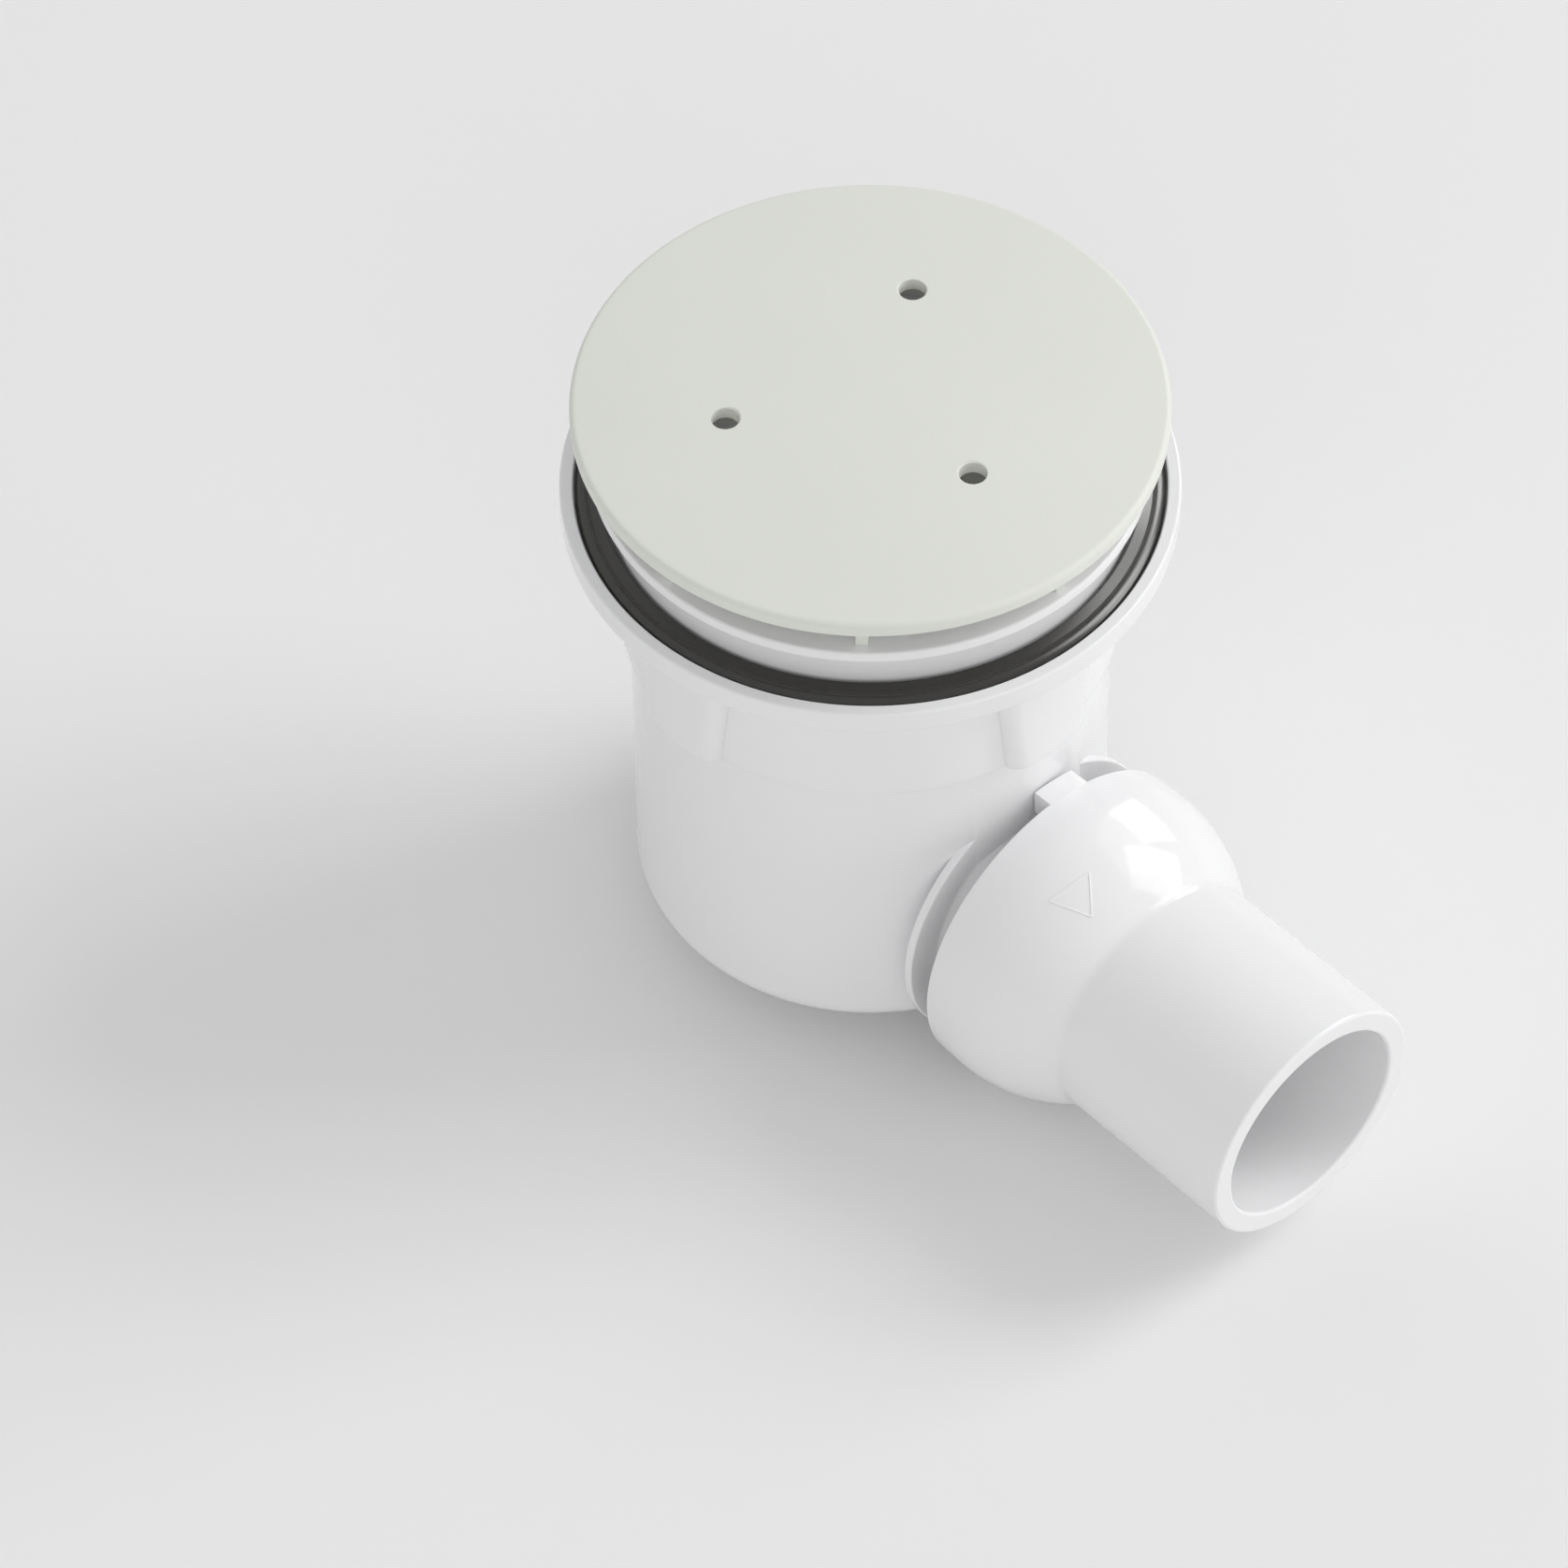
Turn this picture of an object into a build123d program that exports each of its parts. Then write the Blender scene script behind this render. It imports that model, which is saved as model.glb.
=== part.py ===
from build123d import *
from math import degrees, hypot, sqrt
import os

# A shower trap: a pot that is clamped under a shower tray, with a lift-out siphon inside
# and an outlet that turns onto the pot's stub as a bayonet.
# Millimetres. The origin lies on the pot's axis in the plane of the flange's top face,
# +Z points up and the outlet runs along +X.

# Pot
BODY_RADIUS = 45.1
BODY_WALL = 3.0
BODY_DEPTH = 104.6
FLOOR_THICKNESS = 3.0
BODY_EDGE_ROUND = 5.5
COLLAR_STEP = 1.9
COLLAR_WALL = 2.8
COLLAR_DEPTH = 34.8
COLLAR_CHAMFER = 2.5
FLANGE_THICKNESS = 4.9
FLANGE_EDGE_ROUND = 0.5
SEAT_DEPTH = 2.0
SEAT_RIM = 2.55

# Raised pads on the collar, under the flange
PAD_COUNT = 4
PAD_HEIGHT = 2.7
PAD_WIDTH = 19.2
PAD_TAPER = 7.4
PAD_FLARE = 3.3

# Stub on the pot's foot
STUB_BORE_RADIUS = 19.8
STUB_WALL = 3.6
STUB_DEPTH = 16.42
DISC_RADIUS = 30.2
DISC_THICKNESS = 1.8
DISC_INSET = 2.05

# Bayonet between stub and hood; angles turn about the outlet axis, from straight up
CLAW_COUNT = 2
CLAW_CENTRE = -11.0
CLAW_WIDTH = 40.0
CLAW_THICKNESS = 3.2
LUG_THICKNESS = 2.6
LUG_CLEARANCE = 1.0
STOP_WIDTH = 5.0
TURN_CLEARANCE = 0.4

# Outlet: spherical hood and pipe spigot
HOOD_GAP = 4.48
HOOD_WALL = 3.0
HOOD_DRAFT = 0.24
HOOD_RIM_ROUND = 0.6
HOOD_NECK_ROUND = 3.0
BALL_RADIUS = 32.7
BALL_SETBACK = 6.22
SPIGOT_RADIUS = 25.0
SPIGOT_WALL = 4.4
SPIGOT_LENGTH = 63.2
SPIGOT_EDGE_ROUND = 0.5
SLEEVE_WALL = 2.4
SLEEVE_LENGTH = 9.4
SLEEVE_LEAD_IN = 1.0
TAB_CLEARANCE = 0.4
TAB_START = -15.3
TAB_WIDTH = 16.9
TAB_DEPTH = 5.9

# Ring seals
OUTLET_SEAL_WIDTH = 3.2
OUTLET_SEAL_THICKNESS = 2.7
OUTLET_SEAL_SETBACK = 2.6
DIP_SEAL_WIDTH = 3.2
GROOVE_DEPTH = 1.8
GROOVE_CLEARANCE = 0.1
SEAL_CLEARANCE = 0.25

# Clamp ring
THREAD_CLEARANCE = 0.3
NECK_WALL = 3.5
NECK_DEPTH = 16.0
LEDGE_WIDTH = 2.9
LEDGE_THICKNESS = 3.0
SHOULDER_WIDTH = 5.1
SHOULDER_HEIGHT = 10.4
LIP_OVERHANG = 2.8
LIP_THICKNESS = 2.4
LIP_EDGE_ROUND = 0.5
MOUTH_WALL = 3.8
MOUTH_DEPTH = 10.0
MOUTH_EDGE_ROUND = 1.2
KEY_LUG_COUNT = 4
KEY_LUG_WIDTH = 6.0
KEY_LUG_HEIGHT = 2.0
KEY_LUG_LENGTH = 3.5

# Tray gasket
GASKET_WIDTH = 4.95
GASKET_CREST = 1.15
GASKET_CREST_WIDTH = 2.4
GASKET_INNER_DROP = 0.5
GASKET_CLEARANCE = 0.3

# Cover plate
COVER_OVERHANG = 2.9
COVER_THICKNESS = 2.9
COVER_CROWN = 2.5
COVER_EDGE_ROUND = 1.1
COVER_UNDER_ROUND = 0.3
COVER_GAP = 7.9
HOLE_COUNT = 3
HOLE_RADIUS = 2.6
HOLE_CIRCLE = 27.1
FOOT_COUNT = 8
FOOT_WIDTH = 2.3
FOOT_INSET = 1.9
LEG_DEPTH = 6.0
LEG_THICKNESS = 2.4
LEG_CLEARANCE = 0.5

# Siphon insert
FUNNEL_HEIGHT = 7.0
FUNNEL_WALL = 2.0
FUNNEL_FALL = 13.0
INSERT_CLEARANCE = 0.3
TUBE_BORE_RADIUS = 17.0
TUBE_WALL = 2.0
TUBE_GAP = 7.0
WATER_SEAL = 50.0
DIP_LEG_COUNT = 4
DIP_LEG_THICKNESS = 1.8
DIP_LEG_LENGTH = 24.0
PULL_BAR_WIDTH = 3.0
PULL_BAR_HEIGHT = 6.0
CUP_PASSAGE = 5.5
CUP_WALL = 2.0
CUP_FLOOR = 2.0
CUP_FLOOR_GAP = 6.6
CUP_EDGE_ROUND = 3.0
CUP_CLEARANCE = 0.1

# Radii that follow, from the pot outwards and from the collar inwards
CAVITY_RADIUS = BODY_RADIUS - BODY_WALL
COLLAR_RADIUS = BODY_RADIUS + COLLAR_STEP
PAD_RADIUS = COLLAR_RADIUS + PAD_HEIGHT
THREAD_RADIUS = COLLAR_RADIUS - COLLAR_WALL
SHOULDER_RADIUS = THREAD_RADIUS + SHOULDER_WIDTH
GASKET_INNER = SHOULDER_RADIUS + GASKET_CLEARANCE
GASKET_OUTER = GASKET_INNER + GASKET_WIDTH
SEAT_RADIUS = GASKET_OUTER + GASKET_CLEARANCE
FLANGE_RADIUS = SEAT_RADIUS + SEAT_RIM
LIP_RADIUS = SHOULDER_RADIUS + LIP_OVERHANG
COVER_RADIUS = LIP_RADIUS + COVER_OVERHANG
FOOT_RADIUS = LIP_RADIUS - FOOT_INSET
MOUTH_RADIUS = SHOULDER_RADIUS - MOUTH_WALL
LEG_RADIUS = MOUTH_RADIUS - LEG_CLEARANCE
NECK_RADIUS = THREAD_RADIUS - THREAD_CLEARANCE
NECK_BORE_RADIUS = NECK_RADIUS - NECK_WALL
LEDGE_RADIUS = NECK_BORE_RADIUS - LEDGE_WIDTH
FUNNEL_RADIUS = NECK_BORE_RADIUS - INSERT_CLEARANCE
FUNNEL_GROOVE_RADIUS = FUNNEL_RADIUS - GROOVE_DEPTH
TUBE_RADIUS = TUBE_BORE_RADIUS + TUBE_WALL
CUP_RADIUS = LEDGE_RADIUS - CUP_PASSAGE
CUP_INNER = CUP_RADIUS - CUP_WALL

# Heights that follow
FLOOR_TOP = FLOOR_THICKNESS - BODY_DEPTH
RING_SEAT = -SEAT_DEPTH
LIP_UNDERSIDE = RING_SEAT + SHOULDER_HEIGHT
RING_TOP = LIP_UNDERSIDE + LIP_THICKNESS
MOUTH_FOOT = RING_TOP - MOUTH_DEPTH
NECK_END = RING_SEAT - NECK_DEPTH
LEDGE_TOP = NECK_END + LEDGE_THICKNESS
COVER_UNDERSIDE = RING_TOP + COVER_GAP
COVER_RIM_TOP = COVER_UNDERSIDE + COVER_THICKNESS
FUNNEL_TOP = LEDGE_TOP + FUNNEL_HEIGHT
DIP_SEAL_Z = LEDGE_TOP + FUNNEL_HEIGHT / 2
CUP_BOTTOM = FLOOR_TOP + CUP_FLOOR_GAP
CUP_INSIDE = CUP_BOTTOM + CUP_FLOOR
TUBE_END = CUP_INSIDE + TUBE_GAP
CUP_RIM = TUBE_END + WATER_SEAL

# Outlet radii and reaches from the pot's axis that follow; the stub's bore is level with the floor
OUTLET_Z = FLOOR_TOP + STUB_BORE_RADIUS
STUB_RADIUS = STUB_BORE_RADIUS + STUB_WALL
STUB_GROOVE_RADIUS = STUB_RADIUS - GROOVE_DEPTH
OUTLET_SEAL_INNER = STUB_GROOVE_RADIUS + GROOVE_CLEARANCE
OUTLET_SEAL_OUTER = OUTLET_SEAL_INNER + OUTLET_SEAL_THICKNESS
SLEEVE_RADIUS = OUTLET_SEAL_OUTER + SEAL_CLEARANCE
DISC_FACE = BODY_RADIUS - DISC_INSET
TAB_REACH = BODY_RADIUS + TAB_CLEARANCE
HOOD_RIM_REACH = BODY_RADIUS + HOOD_GAP
STUB_REACH = HOOD_RIM_REACH + STUB_DEPTH
BALL_REACH = HOOD_RIM_REACH + BALL_SETBACK
SPIGOT_REACH = BALL_REACH + SPIGOT_LENGTH
SPIGOT_BORE_RADIUS = SPIGOT_RADIUS - SPIGOT_WALL
HOOD_RIM_RADIUS = BALL_RADIUS - HOOD_DRAFT
HOOD_BORE_RADIUS = HOOD_RIM_RADIUS - HOOD_WALL
BALL_END = BALL_REACH + sqrt(BALL_RADIUS ** 2 - SPIGOT_RADIUS ** 2)
SLEEVE_END = STUB_REACH + TURN_CLEARANCE
SLEEVE_START = SLEEVE_END - SLEEVE_LENGTH
CLAW_START = HOOD_RIM_REACH + TURN_CLEARANCE
LUG_START = CLAW_START + CLAW_THICKNESS + TURN_CLEARANCE
LUG_END = LUG_START + LUG_THICKNESS
LUG_RADIUS = HOOD_BORE_RADIUS - LUG_CLEARANCE
OUTLET_SEAL_END = STUB_REACH - OUTLET_SEAL_SETBACK


def outline(*points):
    """Closed outline through points of (across, along)."""
    return make_face(Polyline(*points, close=True))


def rounded(face, *corners):
    """The face with each corner of (across, along, radius) rounded."""
    for across, along, radius in corners:
        corner = face.vertices().sort_by_distance((across, along))[0]
        face = fillet(corner, radius)
    return face


def turned(face):
    """Solid turned about the pot's axis from a face of (radius, height)."""
    return revolve(Plane.XZ * face, Axis.Z)


def turned_on_outlet(face):
    """Solid turned about the outlet axis from a face of (reach, radius)."""
    return Pos(0, 0, OUTLET_Z) * revolve(Plane.XZ * face, Axis.X)


def outlet_sector(start, end, inner, outer, angle, width):
    """Ring sector about the outlet axis, from an angle over a width in degrees."""
    section = outline((start, inner), (end, inner), (end, outer), (start, outer))
    sector = revolve(Plane.XZ * section, Axis.X, width)
    return Pos(0, 0, OUTLET_Z) * Rot(X=angle) * sector


def around(piece, count, first=0.0):
    """Copies of a piece, evenly turned about the pot's axis."""
    return [Rot(Z=first + 360 * k / count) * piece for k in range(count)]


def pot_outside():
    """Pot, collar and flange as one turned outside, before it is hollowed."""
    face = outline(
        (0, -BODY_DEPTH),
        (BODY_RADIUS, -BODY_DEPTH),
        (BODY_RADIUS, -COLLAR_DEPTH),
        (COLLAR_RADIUS, -COLLAR_DEPTH),
        (COLLAR_RADIUS, -FLANGE_THICKNESS),
        (FLANGE_RADIUS, -FLANGE_THICKNESS),
        (FLANGE_RADIUS, 0),
        (0, 0),
    )
    face = rounded(
        face,
        (BODY_RADIUS, -BODY_DEPTH, BODY_EDGE_ROUND),
        (FLANGE_RADIUS, -FLANGE_THICKNESS, FLANGE_EDGE_ROUND),
        (FLANGE_RADIUS, 0, FLANGE_EDGE_ROUND),
    )
    return turned(face)


def pot_cavity():
    """Space in the pot: gasket seat, threaded collar and chamber with a rounded floor."""
    face = outline(
        (0, FLOOR_TOP),
        (CAVITY_RADIUS, FLOOR_TOP),
        (CAVITY_RADIUS, -COLLAR_DEPTH),
        (THREAD_RADIUS, COLLAR_CHAMFER - COLLAR_DEPTH),
        (THREAD_RADIUS, -SEAT_DEPTH),
        (SEAT_RADIUS, -SEAT_DEPTH),
        (SEAT_RADIUS, FLANGE_THICKNESS),
        (0, FLANGE_THICKNESS),
    )
    inner_round = max(BODY_EDGE_ROUND - BODY_WALL, BODY_WALL / 2)
    return turned(rounded(face, (CAVITY_RADIUS, FLOOR_TOP, inner_round)))


def on_circle(radius, angle, height):
    """Point at a radius, an angle about the pot's axis and a height."""
    return Vector(radius, 0, height).rotate(Axis.Z, angle)


def pad_section(half, height):
    """Level section through one pad, its flanks rounded over from its face to the collar."""
    bend = COLLAR_RADIUS + PAD_HEIGHT * sqrt(0.5)
    face_angle = degrees(half / PAD_RADIUS)
    bend_angle = degrees((half + PAD_FLARE * sqrt(0.5)) / bend)
    root_angle = degrees((half + PAD_FLARE) / COLLAR_RADIUS)
    face = [on_circle(PAD_RADIUS, side * face_angle, height) for side in (1, -1)]
    front = [on_circle(PAD_RADIUS + PAD_HEIGHT, side * face_angle, height) for side in (1, -1)]
    bends = [on_circle(bend, side * bend_angle, height) for side in (1, -1)]
    roots = [on_circle(COLLAR_RADIUS, side * root_angle, height) for side in (1, -1)]
    inside = [on_circle(COLLAR_RADIUS - COLLAR_WALL / 2, side * root_angle, height) for side in (1, -1)]
    return make_face(
        ThreePointArc(roots[0], bends[0], face[0])
        + Polyline(face[0], front[0], front[1], face[1])
        + ThreePointArc(face[1], bends[1], roots[1])
        + Polyline(roots[1], inside[1], inside[0], roots[0])
    )


def collar_pad():
    """One pad on the collar, narrower below, with rounded flanks."""
    above = pad_section(PAD_WIDTH / 2, -FLANGE_THICKNESS / 2)
    below = pad_section((PAD_WIDTH - PAD_TAPER) / 2, -COLLAR_DEPTH)
    reach = Pos(0, 0, -COLLAR_DEPTH / 2) * Cylinder(PAD_RADIUS, COLLAR_DEPTH)
    return loft([above, below], ruled=True) & reach


def stub():
    """Outlet stub with its disc, bayonet lugs, stops and the groove for its ring seal."""
    root = sqrt(CAVITY_RADIUS ** 2 - STUB_RADIUS ** 2)
    groove_start = OUTLET_SEAL_END - OUTLET_SEAL_WIDTH - GROOVE_CLEARANCE
    groove_end = OUTLET_SEAL_END + GROOVE_CLEARANCE
    body = turned_on_outlet(outline(
        (root, 0),
        (STUB_REACH, 0),
        (STUB_REACH, STUB_RADIUS),
        (groove_end, STUB_RADIUS),
        (groove_end, STUB_GROOVE_RADIUS),
        (groove_start, STUB_GROOVE_RADIUS),
        (groove_start, STUB_RADIUS),
        (DISC_FACE, STUB_RADIUS),
        (DISC_FACE, DISC_RADIUS),
        (DISC_FACE - DISC_THICKNESS, DISC_RADIUS),
        (DISC_FACE - DISC_THICKNESS, STUB_RADIUS),
        (root, STUB_RADIUS),
    ))
    inner = STUB_RADIUS - STUB_WALL / 2
    play = degrees(TURN_CLEARANCE / STUB_RADIUS)
    for k in range(CLAW_COUNT):
        start = CLAW_CENTRE - CLAW_WIDTH / 2 + 360 * k / CLAW_COUNT
        stop = start + CLAW_WIDTH + play
        body += outlet_sector(LUG_START, LUG_END, inner, LUG_RADIUS, start, CLAW_WIDTH + play + STOP_WIDTH)
        body += outlet_sector(CLAW_START, LUG_END, inner, LUG_RADIUS, stop, STOP_WIDTH)
    return body


def trap_body():
    """The pot: flange, collar with pads, chamber and outlet stub in one moulding."""
    body = pot_outside() + around(collar_pad(), PAD_COUNT) + stub()
    body -= pot_cavity()
    end = STUB_REACH + STUB_DEPTH
    bore = turned_on_outlet(outline((0, 0), (end, 0), (end, STUB_BORE_RADIUS), (0, STUB_BORE_RADIUS)))
    return body - bore


def outlet_spigot():
    """Outlet: ball hood with skirt, claws and tab, seal sleeve and pipe spigot in one moulding."""
    cone_end = SLEEVE_END + SPIGOT_WALL
    sleeve_back = SLEEVE_RADIUS + SLEEVE_WALL
    pocket_end = SLEEVE_END - SLEEVE_WALL
    half_way = (BALL_RADIUS + SPIGOT_RADIUS) / 2
    middle = (BALL_REACH + sqrt(BALL_RADIUS ** 2 - half_way ** 2), half_way)
    ball = ThreePointArc((BALL_REACH, BALL_RADIUS), middle, (BALL_END, SPIGOT_RADIUS))
    skirt = Line((HOOD_RIM_REACH, HOOD_RIM_RADIUS), (BALL_REACH, BALL_RADIUS))
    edge = skirt + ball + Polyline(
        (BALL_END, SPIGOT_RADIUS),
        (SPIGOT_REACH, SPIGOT_RADIUS),
        (SPIGOT_REACH, SPIGOT_BORE_RADIUS),
        (cone_end, SPIGOT_BORE_RADIUS),
        (SLEEVE_END, SLEEVE_RADIUS),
        (SLEEVE_START + SLEEVE_LEAD_IN, SLEEVE_RADIUS),
        (SLEEVE_START, SLEEVE_RADIUS + SLEEVE_LEAD_IN),
        (SLEEVE_START, sleeve_back),
        (pocket_end, sleeve_back),
        (pocket_end, HOOD_BORE_RADIUS),
        (HOOD_RIM_REACH, HOOD_BORE_RADIUS),
        (HOOD_RIM_REACH, HOOD_RIM_RADIUS),
    )
    face = rounded(
        make_face(edge),
        (BALL_END, SPIGOT_RADIUS, HOOD_NECK_ROUND),
        (SPIGOT_REACH, SPIGOT_RADIUS, SPIGOT_EDGE_ROUND),
        (SPIGOT_REACH, SPIGOT_BORE_RADIUS, SPIGOT_EDGE_ROUND),
        (HOOD_RIM_REACH, HOOD_RIM_RADIUS, HOOD_RIM_ROUND),
    )
    outlet = turned_on_outlet(face)
    claw_end = CLAW_START + CLAW_THICKNESS
    claw_inner = STUB_RADIUS + TURN_CLEARANCE
    claw_root = HOOD_BORE_RADIUS + HOOD_WALL / 2
    for k in range(CLAW_COUNT):
        start = CLAW_CENTRE - CLAW_WIDTH / 2 + 360 * k / CLAW_COUNT
        outlet += outlet_sector(CLAW_START, claw_end, claw_inner, claw_root, start, CLAW_WIDTH)
    tab_end = CLAW_START + CLAW_THICKNESS / 2
    tab_inner = HOOD_RIM_RADIUS - TAB_DEPTH
    return outlet + outlet_sector(TAB_REACH, tab_end, tab_inner, HOOD_RIM_RADIUS, TAB_START, TAB_WIDTH)


def seal_section(low, high, inner, outer):
    """Section of a ring seal, its corners rounded."""
    soft = min(high - low, outer - inner) / 3
    face = outline((low, inner), (high, inner), (high, outer), (low, outer))
    return rounded(face, *[(across, along, soft) for across in (low, high) for along in (inner, outer)])


def outlet_seal():
    """Ring seal in the stub's groove, at its fitted size."""
    start = OUTLET_SEAL_END - OUTLET_SEAL_WIDTH
    return turned_on_outlet(seal_section(start, OUTLET_SEAL_END, OUTLET_SEAL_INNER, OUTLET_SEAL_OUTER))


def tray_gasket():
    """Tray gasket: flat below, rising from the ring's shoulder to a round crest near its rim."""
    crest_start = GASKET_OUTER - GASKET_CREST_WIDTH
    crest_foot = GASKET_CREST / 4
    crest = ThreePointArc(
        (GASKET_OUTER, 0), (GASKET_OUTER - GASKET_CREST_WIDTH / 2, GASKET_CREST), (crest_start, crest_foot))
    edge = crest + Polyline(
        (crest_start, crest_foot),
        (GASKET_INNER, -GASKET_INNER_DROP),
        (GASKET_INNER, RING_SEAT),
        (GASKET_OUTER, RING_SEAT),
        (GASKET_OUTER, 0),
    )
    return turned(make_face(edge))


def clamp_ring():
    """Clamp ring: lip, shoulder, threaded neck, ledge for the insert and lugs for a ring key."""
    face = outline(
        (MOUTH_RADIUS, RING_TOP),
        (LIP_RADIUS, RING_TOP),
        (LIP_RADIUS, LIP_UNDERSIDE),
        (SHOULDER_RADIUS, LIP_UNDERSIDE),
        (SHOULDER_RADIUS, RING_SEAT),
        (NECK_RADIUS, RING_SEAT),
        (NECK_RADIUS, NECK_END),
        (LEDGE_RADIUS, NECK_END),
        (LEDGE_RADIUS, LEDGE_TOP),
        (NECK_BORE_RADIUS, LEDGE_TOP),
        (NECK_BORE_RADIUS, MOUTH_FOOT - (MOUTH_RADIUS - NECK_BORE_RADIUS)),
        (MOUTH_RADIUS, MOUTH_FOOT),
    )
    face = rounded(
        face,
        (LIP_RADIUS, RING_TOP, LIP_EDGE_ROUND),
        (MOUTH_RADIUS, RING_TOP, MOUTH_EDGE_ROUND),
    )
    root = MOUTH_RADIUS + MOUTH_WALL / 2
    reach = MOUTH_WALL / 2 + KEY_LUG_HEIGHT
    lug = Box(reach, KEY_LUG_WIDTH, KEY_LUG_LENGTH)
    lug = Pos(root - reach / 2, 0, MOUTH_FOOT + KEY_LUG_LENGTH / 2) * lug
    return turned(face) + around(lug, KEY_LUG_COUNT, 180 / FOOT_COUNT)


def crown_arc(radius, rim, rise):
    """Arc of a crowned face from the pot's axis to its rim."""
    sphere = (radius ** 2 + rise ** 2) / (2 * rise)
    middle = rim + rise - sphere + sqrt(sphere ** 2 - (radius / 2) ** 2)
    return ThreePointArc((0, rim + rise), (radius / 2, middle), (radius, rim))


def cover_foot():
    """One foot under the cover: it stands on the ring's lip, with a leg down inside the mouth."""
    foot = outline(
        (LEG_RADIUS - LEG_THICKNESS, RING_TOP - LEG_DEPTH),
        (LEG_RADIUS, RING_TOP - LEG_DEPTH),
        (LEG_RADIUS, RING_TOP),
        (FOOT_RADIUS, RING_TOP),
        (FOOT_RADIUS, COVER_RIM_TOP),
        (LEG_RADIUS - LEG_THICKNESS, COVER_RIM_TOP),
    )
    return extrude(Plane.XZ * foot, FOOT_WIDTH / 2, both=True)


def cover_plate():
    """Cover plate: crowned disc with three holes, standing on feet on the ring."""
    top = crown_arc(COVER_RADIUS, COVER_RIM_TOP, COVER_CROWN)
    under = crown_arc(COVER_RADIUS, COVER_UNDERSIDE, COVER_CROWN)
    edge = (
        top
        + Line((COVER_RADIUS, COVER_RIM_TOP), (COVER_RADIUS, COVER_UNDERSIDE))
        + under
        + Line((0, COVER_UNDERSIDE + COVER_CROWN), (0, COVER_RIM_TOP + COVER_CROWN))
    )
    face = rounded(
        make_face(edge),
        (COVER_RADIUS, COVER_RIM_TOP, COVER_EDGE_ROUND),
        (COVER_RADIUS, COVER_UNDERSIDE, COVER_UNDER_ROUND),
    )
    plate = turned(face) + around(cover_foot(), FOOT_COUNT)
    hole = Pos(HOLE_CIRCLE, 0, COVER_RIM_TOP) * Cylinder(HOLE_RADIUS, 4 * (COVER_THICKNESS + COVER_CROWN))
    return plate - around(hole, HOLE_COUNT)


def dip_tube():
    """Dip tube: funnel on the ring's ledge, tube, four legs on the cup's floor and a pull bar."""
    groove_half = DIP_SEAL_WIDTH / 2 + GROOVE_CLEARANCE
    mouth = FUNNEL_GROOVE_RADIUS - FUNNEL_WALL
    under = LEDGE_RADIUS - INSERT_CLEARANCE
    tube_top = LEDGE_TOP - FUNNEL_FALL
    slope = FUNNEL_WALL * hypot(under - TUBE_RADIUS, FUNNEL_FALL) / (under - TUBE_RADIUS)
    tube = turned(outline(
        (TUBE_RADIUS, TUBE_END),
        (TUBE_RADIUS, tube_top),
        (under, LEDGE_TOP),
        (FUNNEL_RADIUS, LEDGE_TOP),
        (FUNNEL_RADIUS, DIP_SEAL_Z - groove_half),
        (FUNNEL_GROOVE_RADIUS, DIP_SEAL_Z - groove_half),
        (FUNNEL_GROOVE_RADIUS, DIP_SEAL_Z + groove_half),
        (FUNNEL_RADIUS, DIP_SEAL_Z + groove_half),
        (FUNNEL_RADIUS, FUNNEL_TOP),
        (mouth, FUNNEL_TOP),
        (mouth, LEDGE_TOP + slope),
        (TUBE_BORE_RADIUS, tube_top + slope),
        (TUBE_BORE_RADIUS, TUBE_END),
    ))
    leg_reach = CUP_INNER - CUP_CLEARANCE
    leg_root = TUBE_BORE_RADIUS + TUBE_WALL / 2
    leg_height = DIP_LEG_LENGTH + TUBE_GAP
    leg = Pos((leg_reach + leg_root) / 2, 0, CUP_INSIDE + leg_height / 2) * Box(
        leg_reach - leg_root, DIP_LEG_THICKNESS, leg_height)
    legs = [piece & Pos(0, 0, CUP_INSIDE) * Cylinder(leg_reach, 4 * leg_height)
            for piece in around(leg, DIP_LEG_COUNT, 180 / DIP_LEG_COUNT)]
    bar = Pos(0, 0, FUNNEL_TOP - PULL_BAR_HEIGHT / 2) * Box(
        PULL_BAR_WIDTH, 2 * mouth + FUNNEL_WALL, PULL_BAR_HEIGHT)
    return tube + legs + bar


def dip_tube_seal():
    """Ring seal in the funnel's groove, at its fitted size."""
    inner = FUNNEL_GROOVE_RADIUS + GROOVE_CLEARANCE
    low = DIP_SEAL_Z - DIP_SEAL_WIDTH / 2
    high = DIP_SEAL_Z + DIP_SEAL_WIDTH / 2
    return turned(seal_section(inner, NECK_BORE_RADIUS - SEAL_CLEARANCE, low, high))


def siphon_cup():
    """Siphon cup: open cup pushed up on the dip tube's legs."""
    face = outline(
        (0, CUP_BOTTOM),
        (CUP_RADIUS, CUP_BOTTOM),
        (CUP_RADIUS, CUP_RIM),
        (CUP_INNER, CUP_RIM),
        (CUP_INNER, CUP_INSIDE),
        (0, CUP_INSIDE),
    )
    return turned(rounded(face, (CUP_RADIUS, CUP_BOTTOM, CUP_EDGE_ROUND)))


PIECES = {
    "trap_body": trap_body,
    "outlet_spigot": outlet_spigot,
    "outlet_seal": outlet_seal,
    "tray_gasket": tray_gasket,
    "clamp_ring": clamp_ring,
    "cover_plate": cover_plate,
    "dip_tube": dip_tube,
    "dip_tube_seal": dip_tube_seal,
    "siphon_cup": siphon_cup,
}

os.makedirs("parts", exist_ok=True)
for name, make in PIECES.items():
    export_step(make(), f"parts/{name}.step")
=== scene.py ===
"""Shower trap: finished surfaces, finishes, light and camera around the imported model."""

import logging
import math
from dataclasses import dataclass
from enum import Enum
from typing import Iterable, Sequence

import bpy
import numpy as np
import numpy.typing as npt
from mathutils import Matrix


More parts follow.
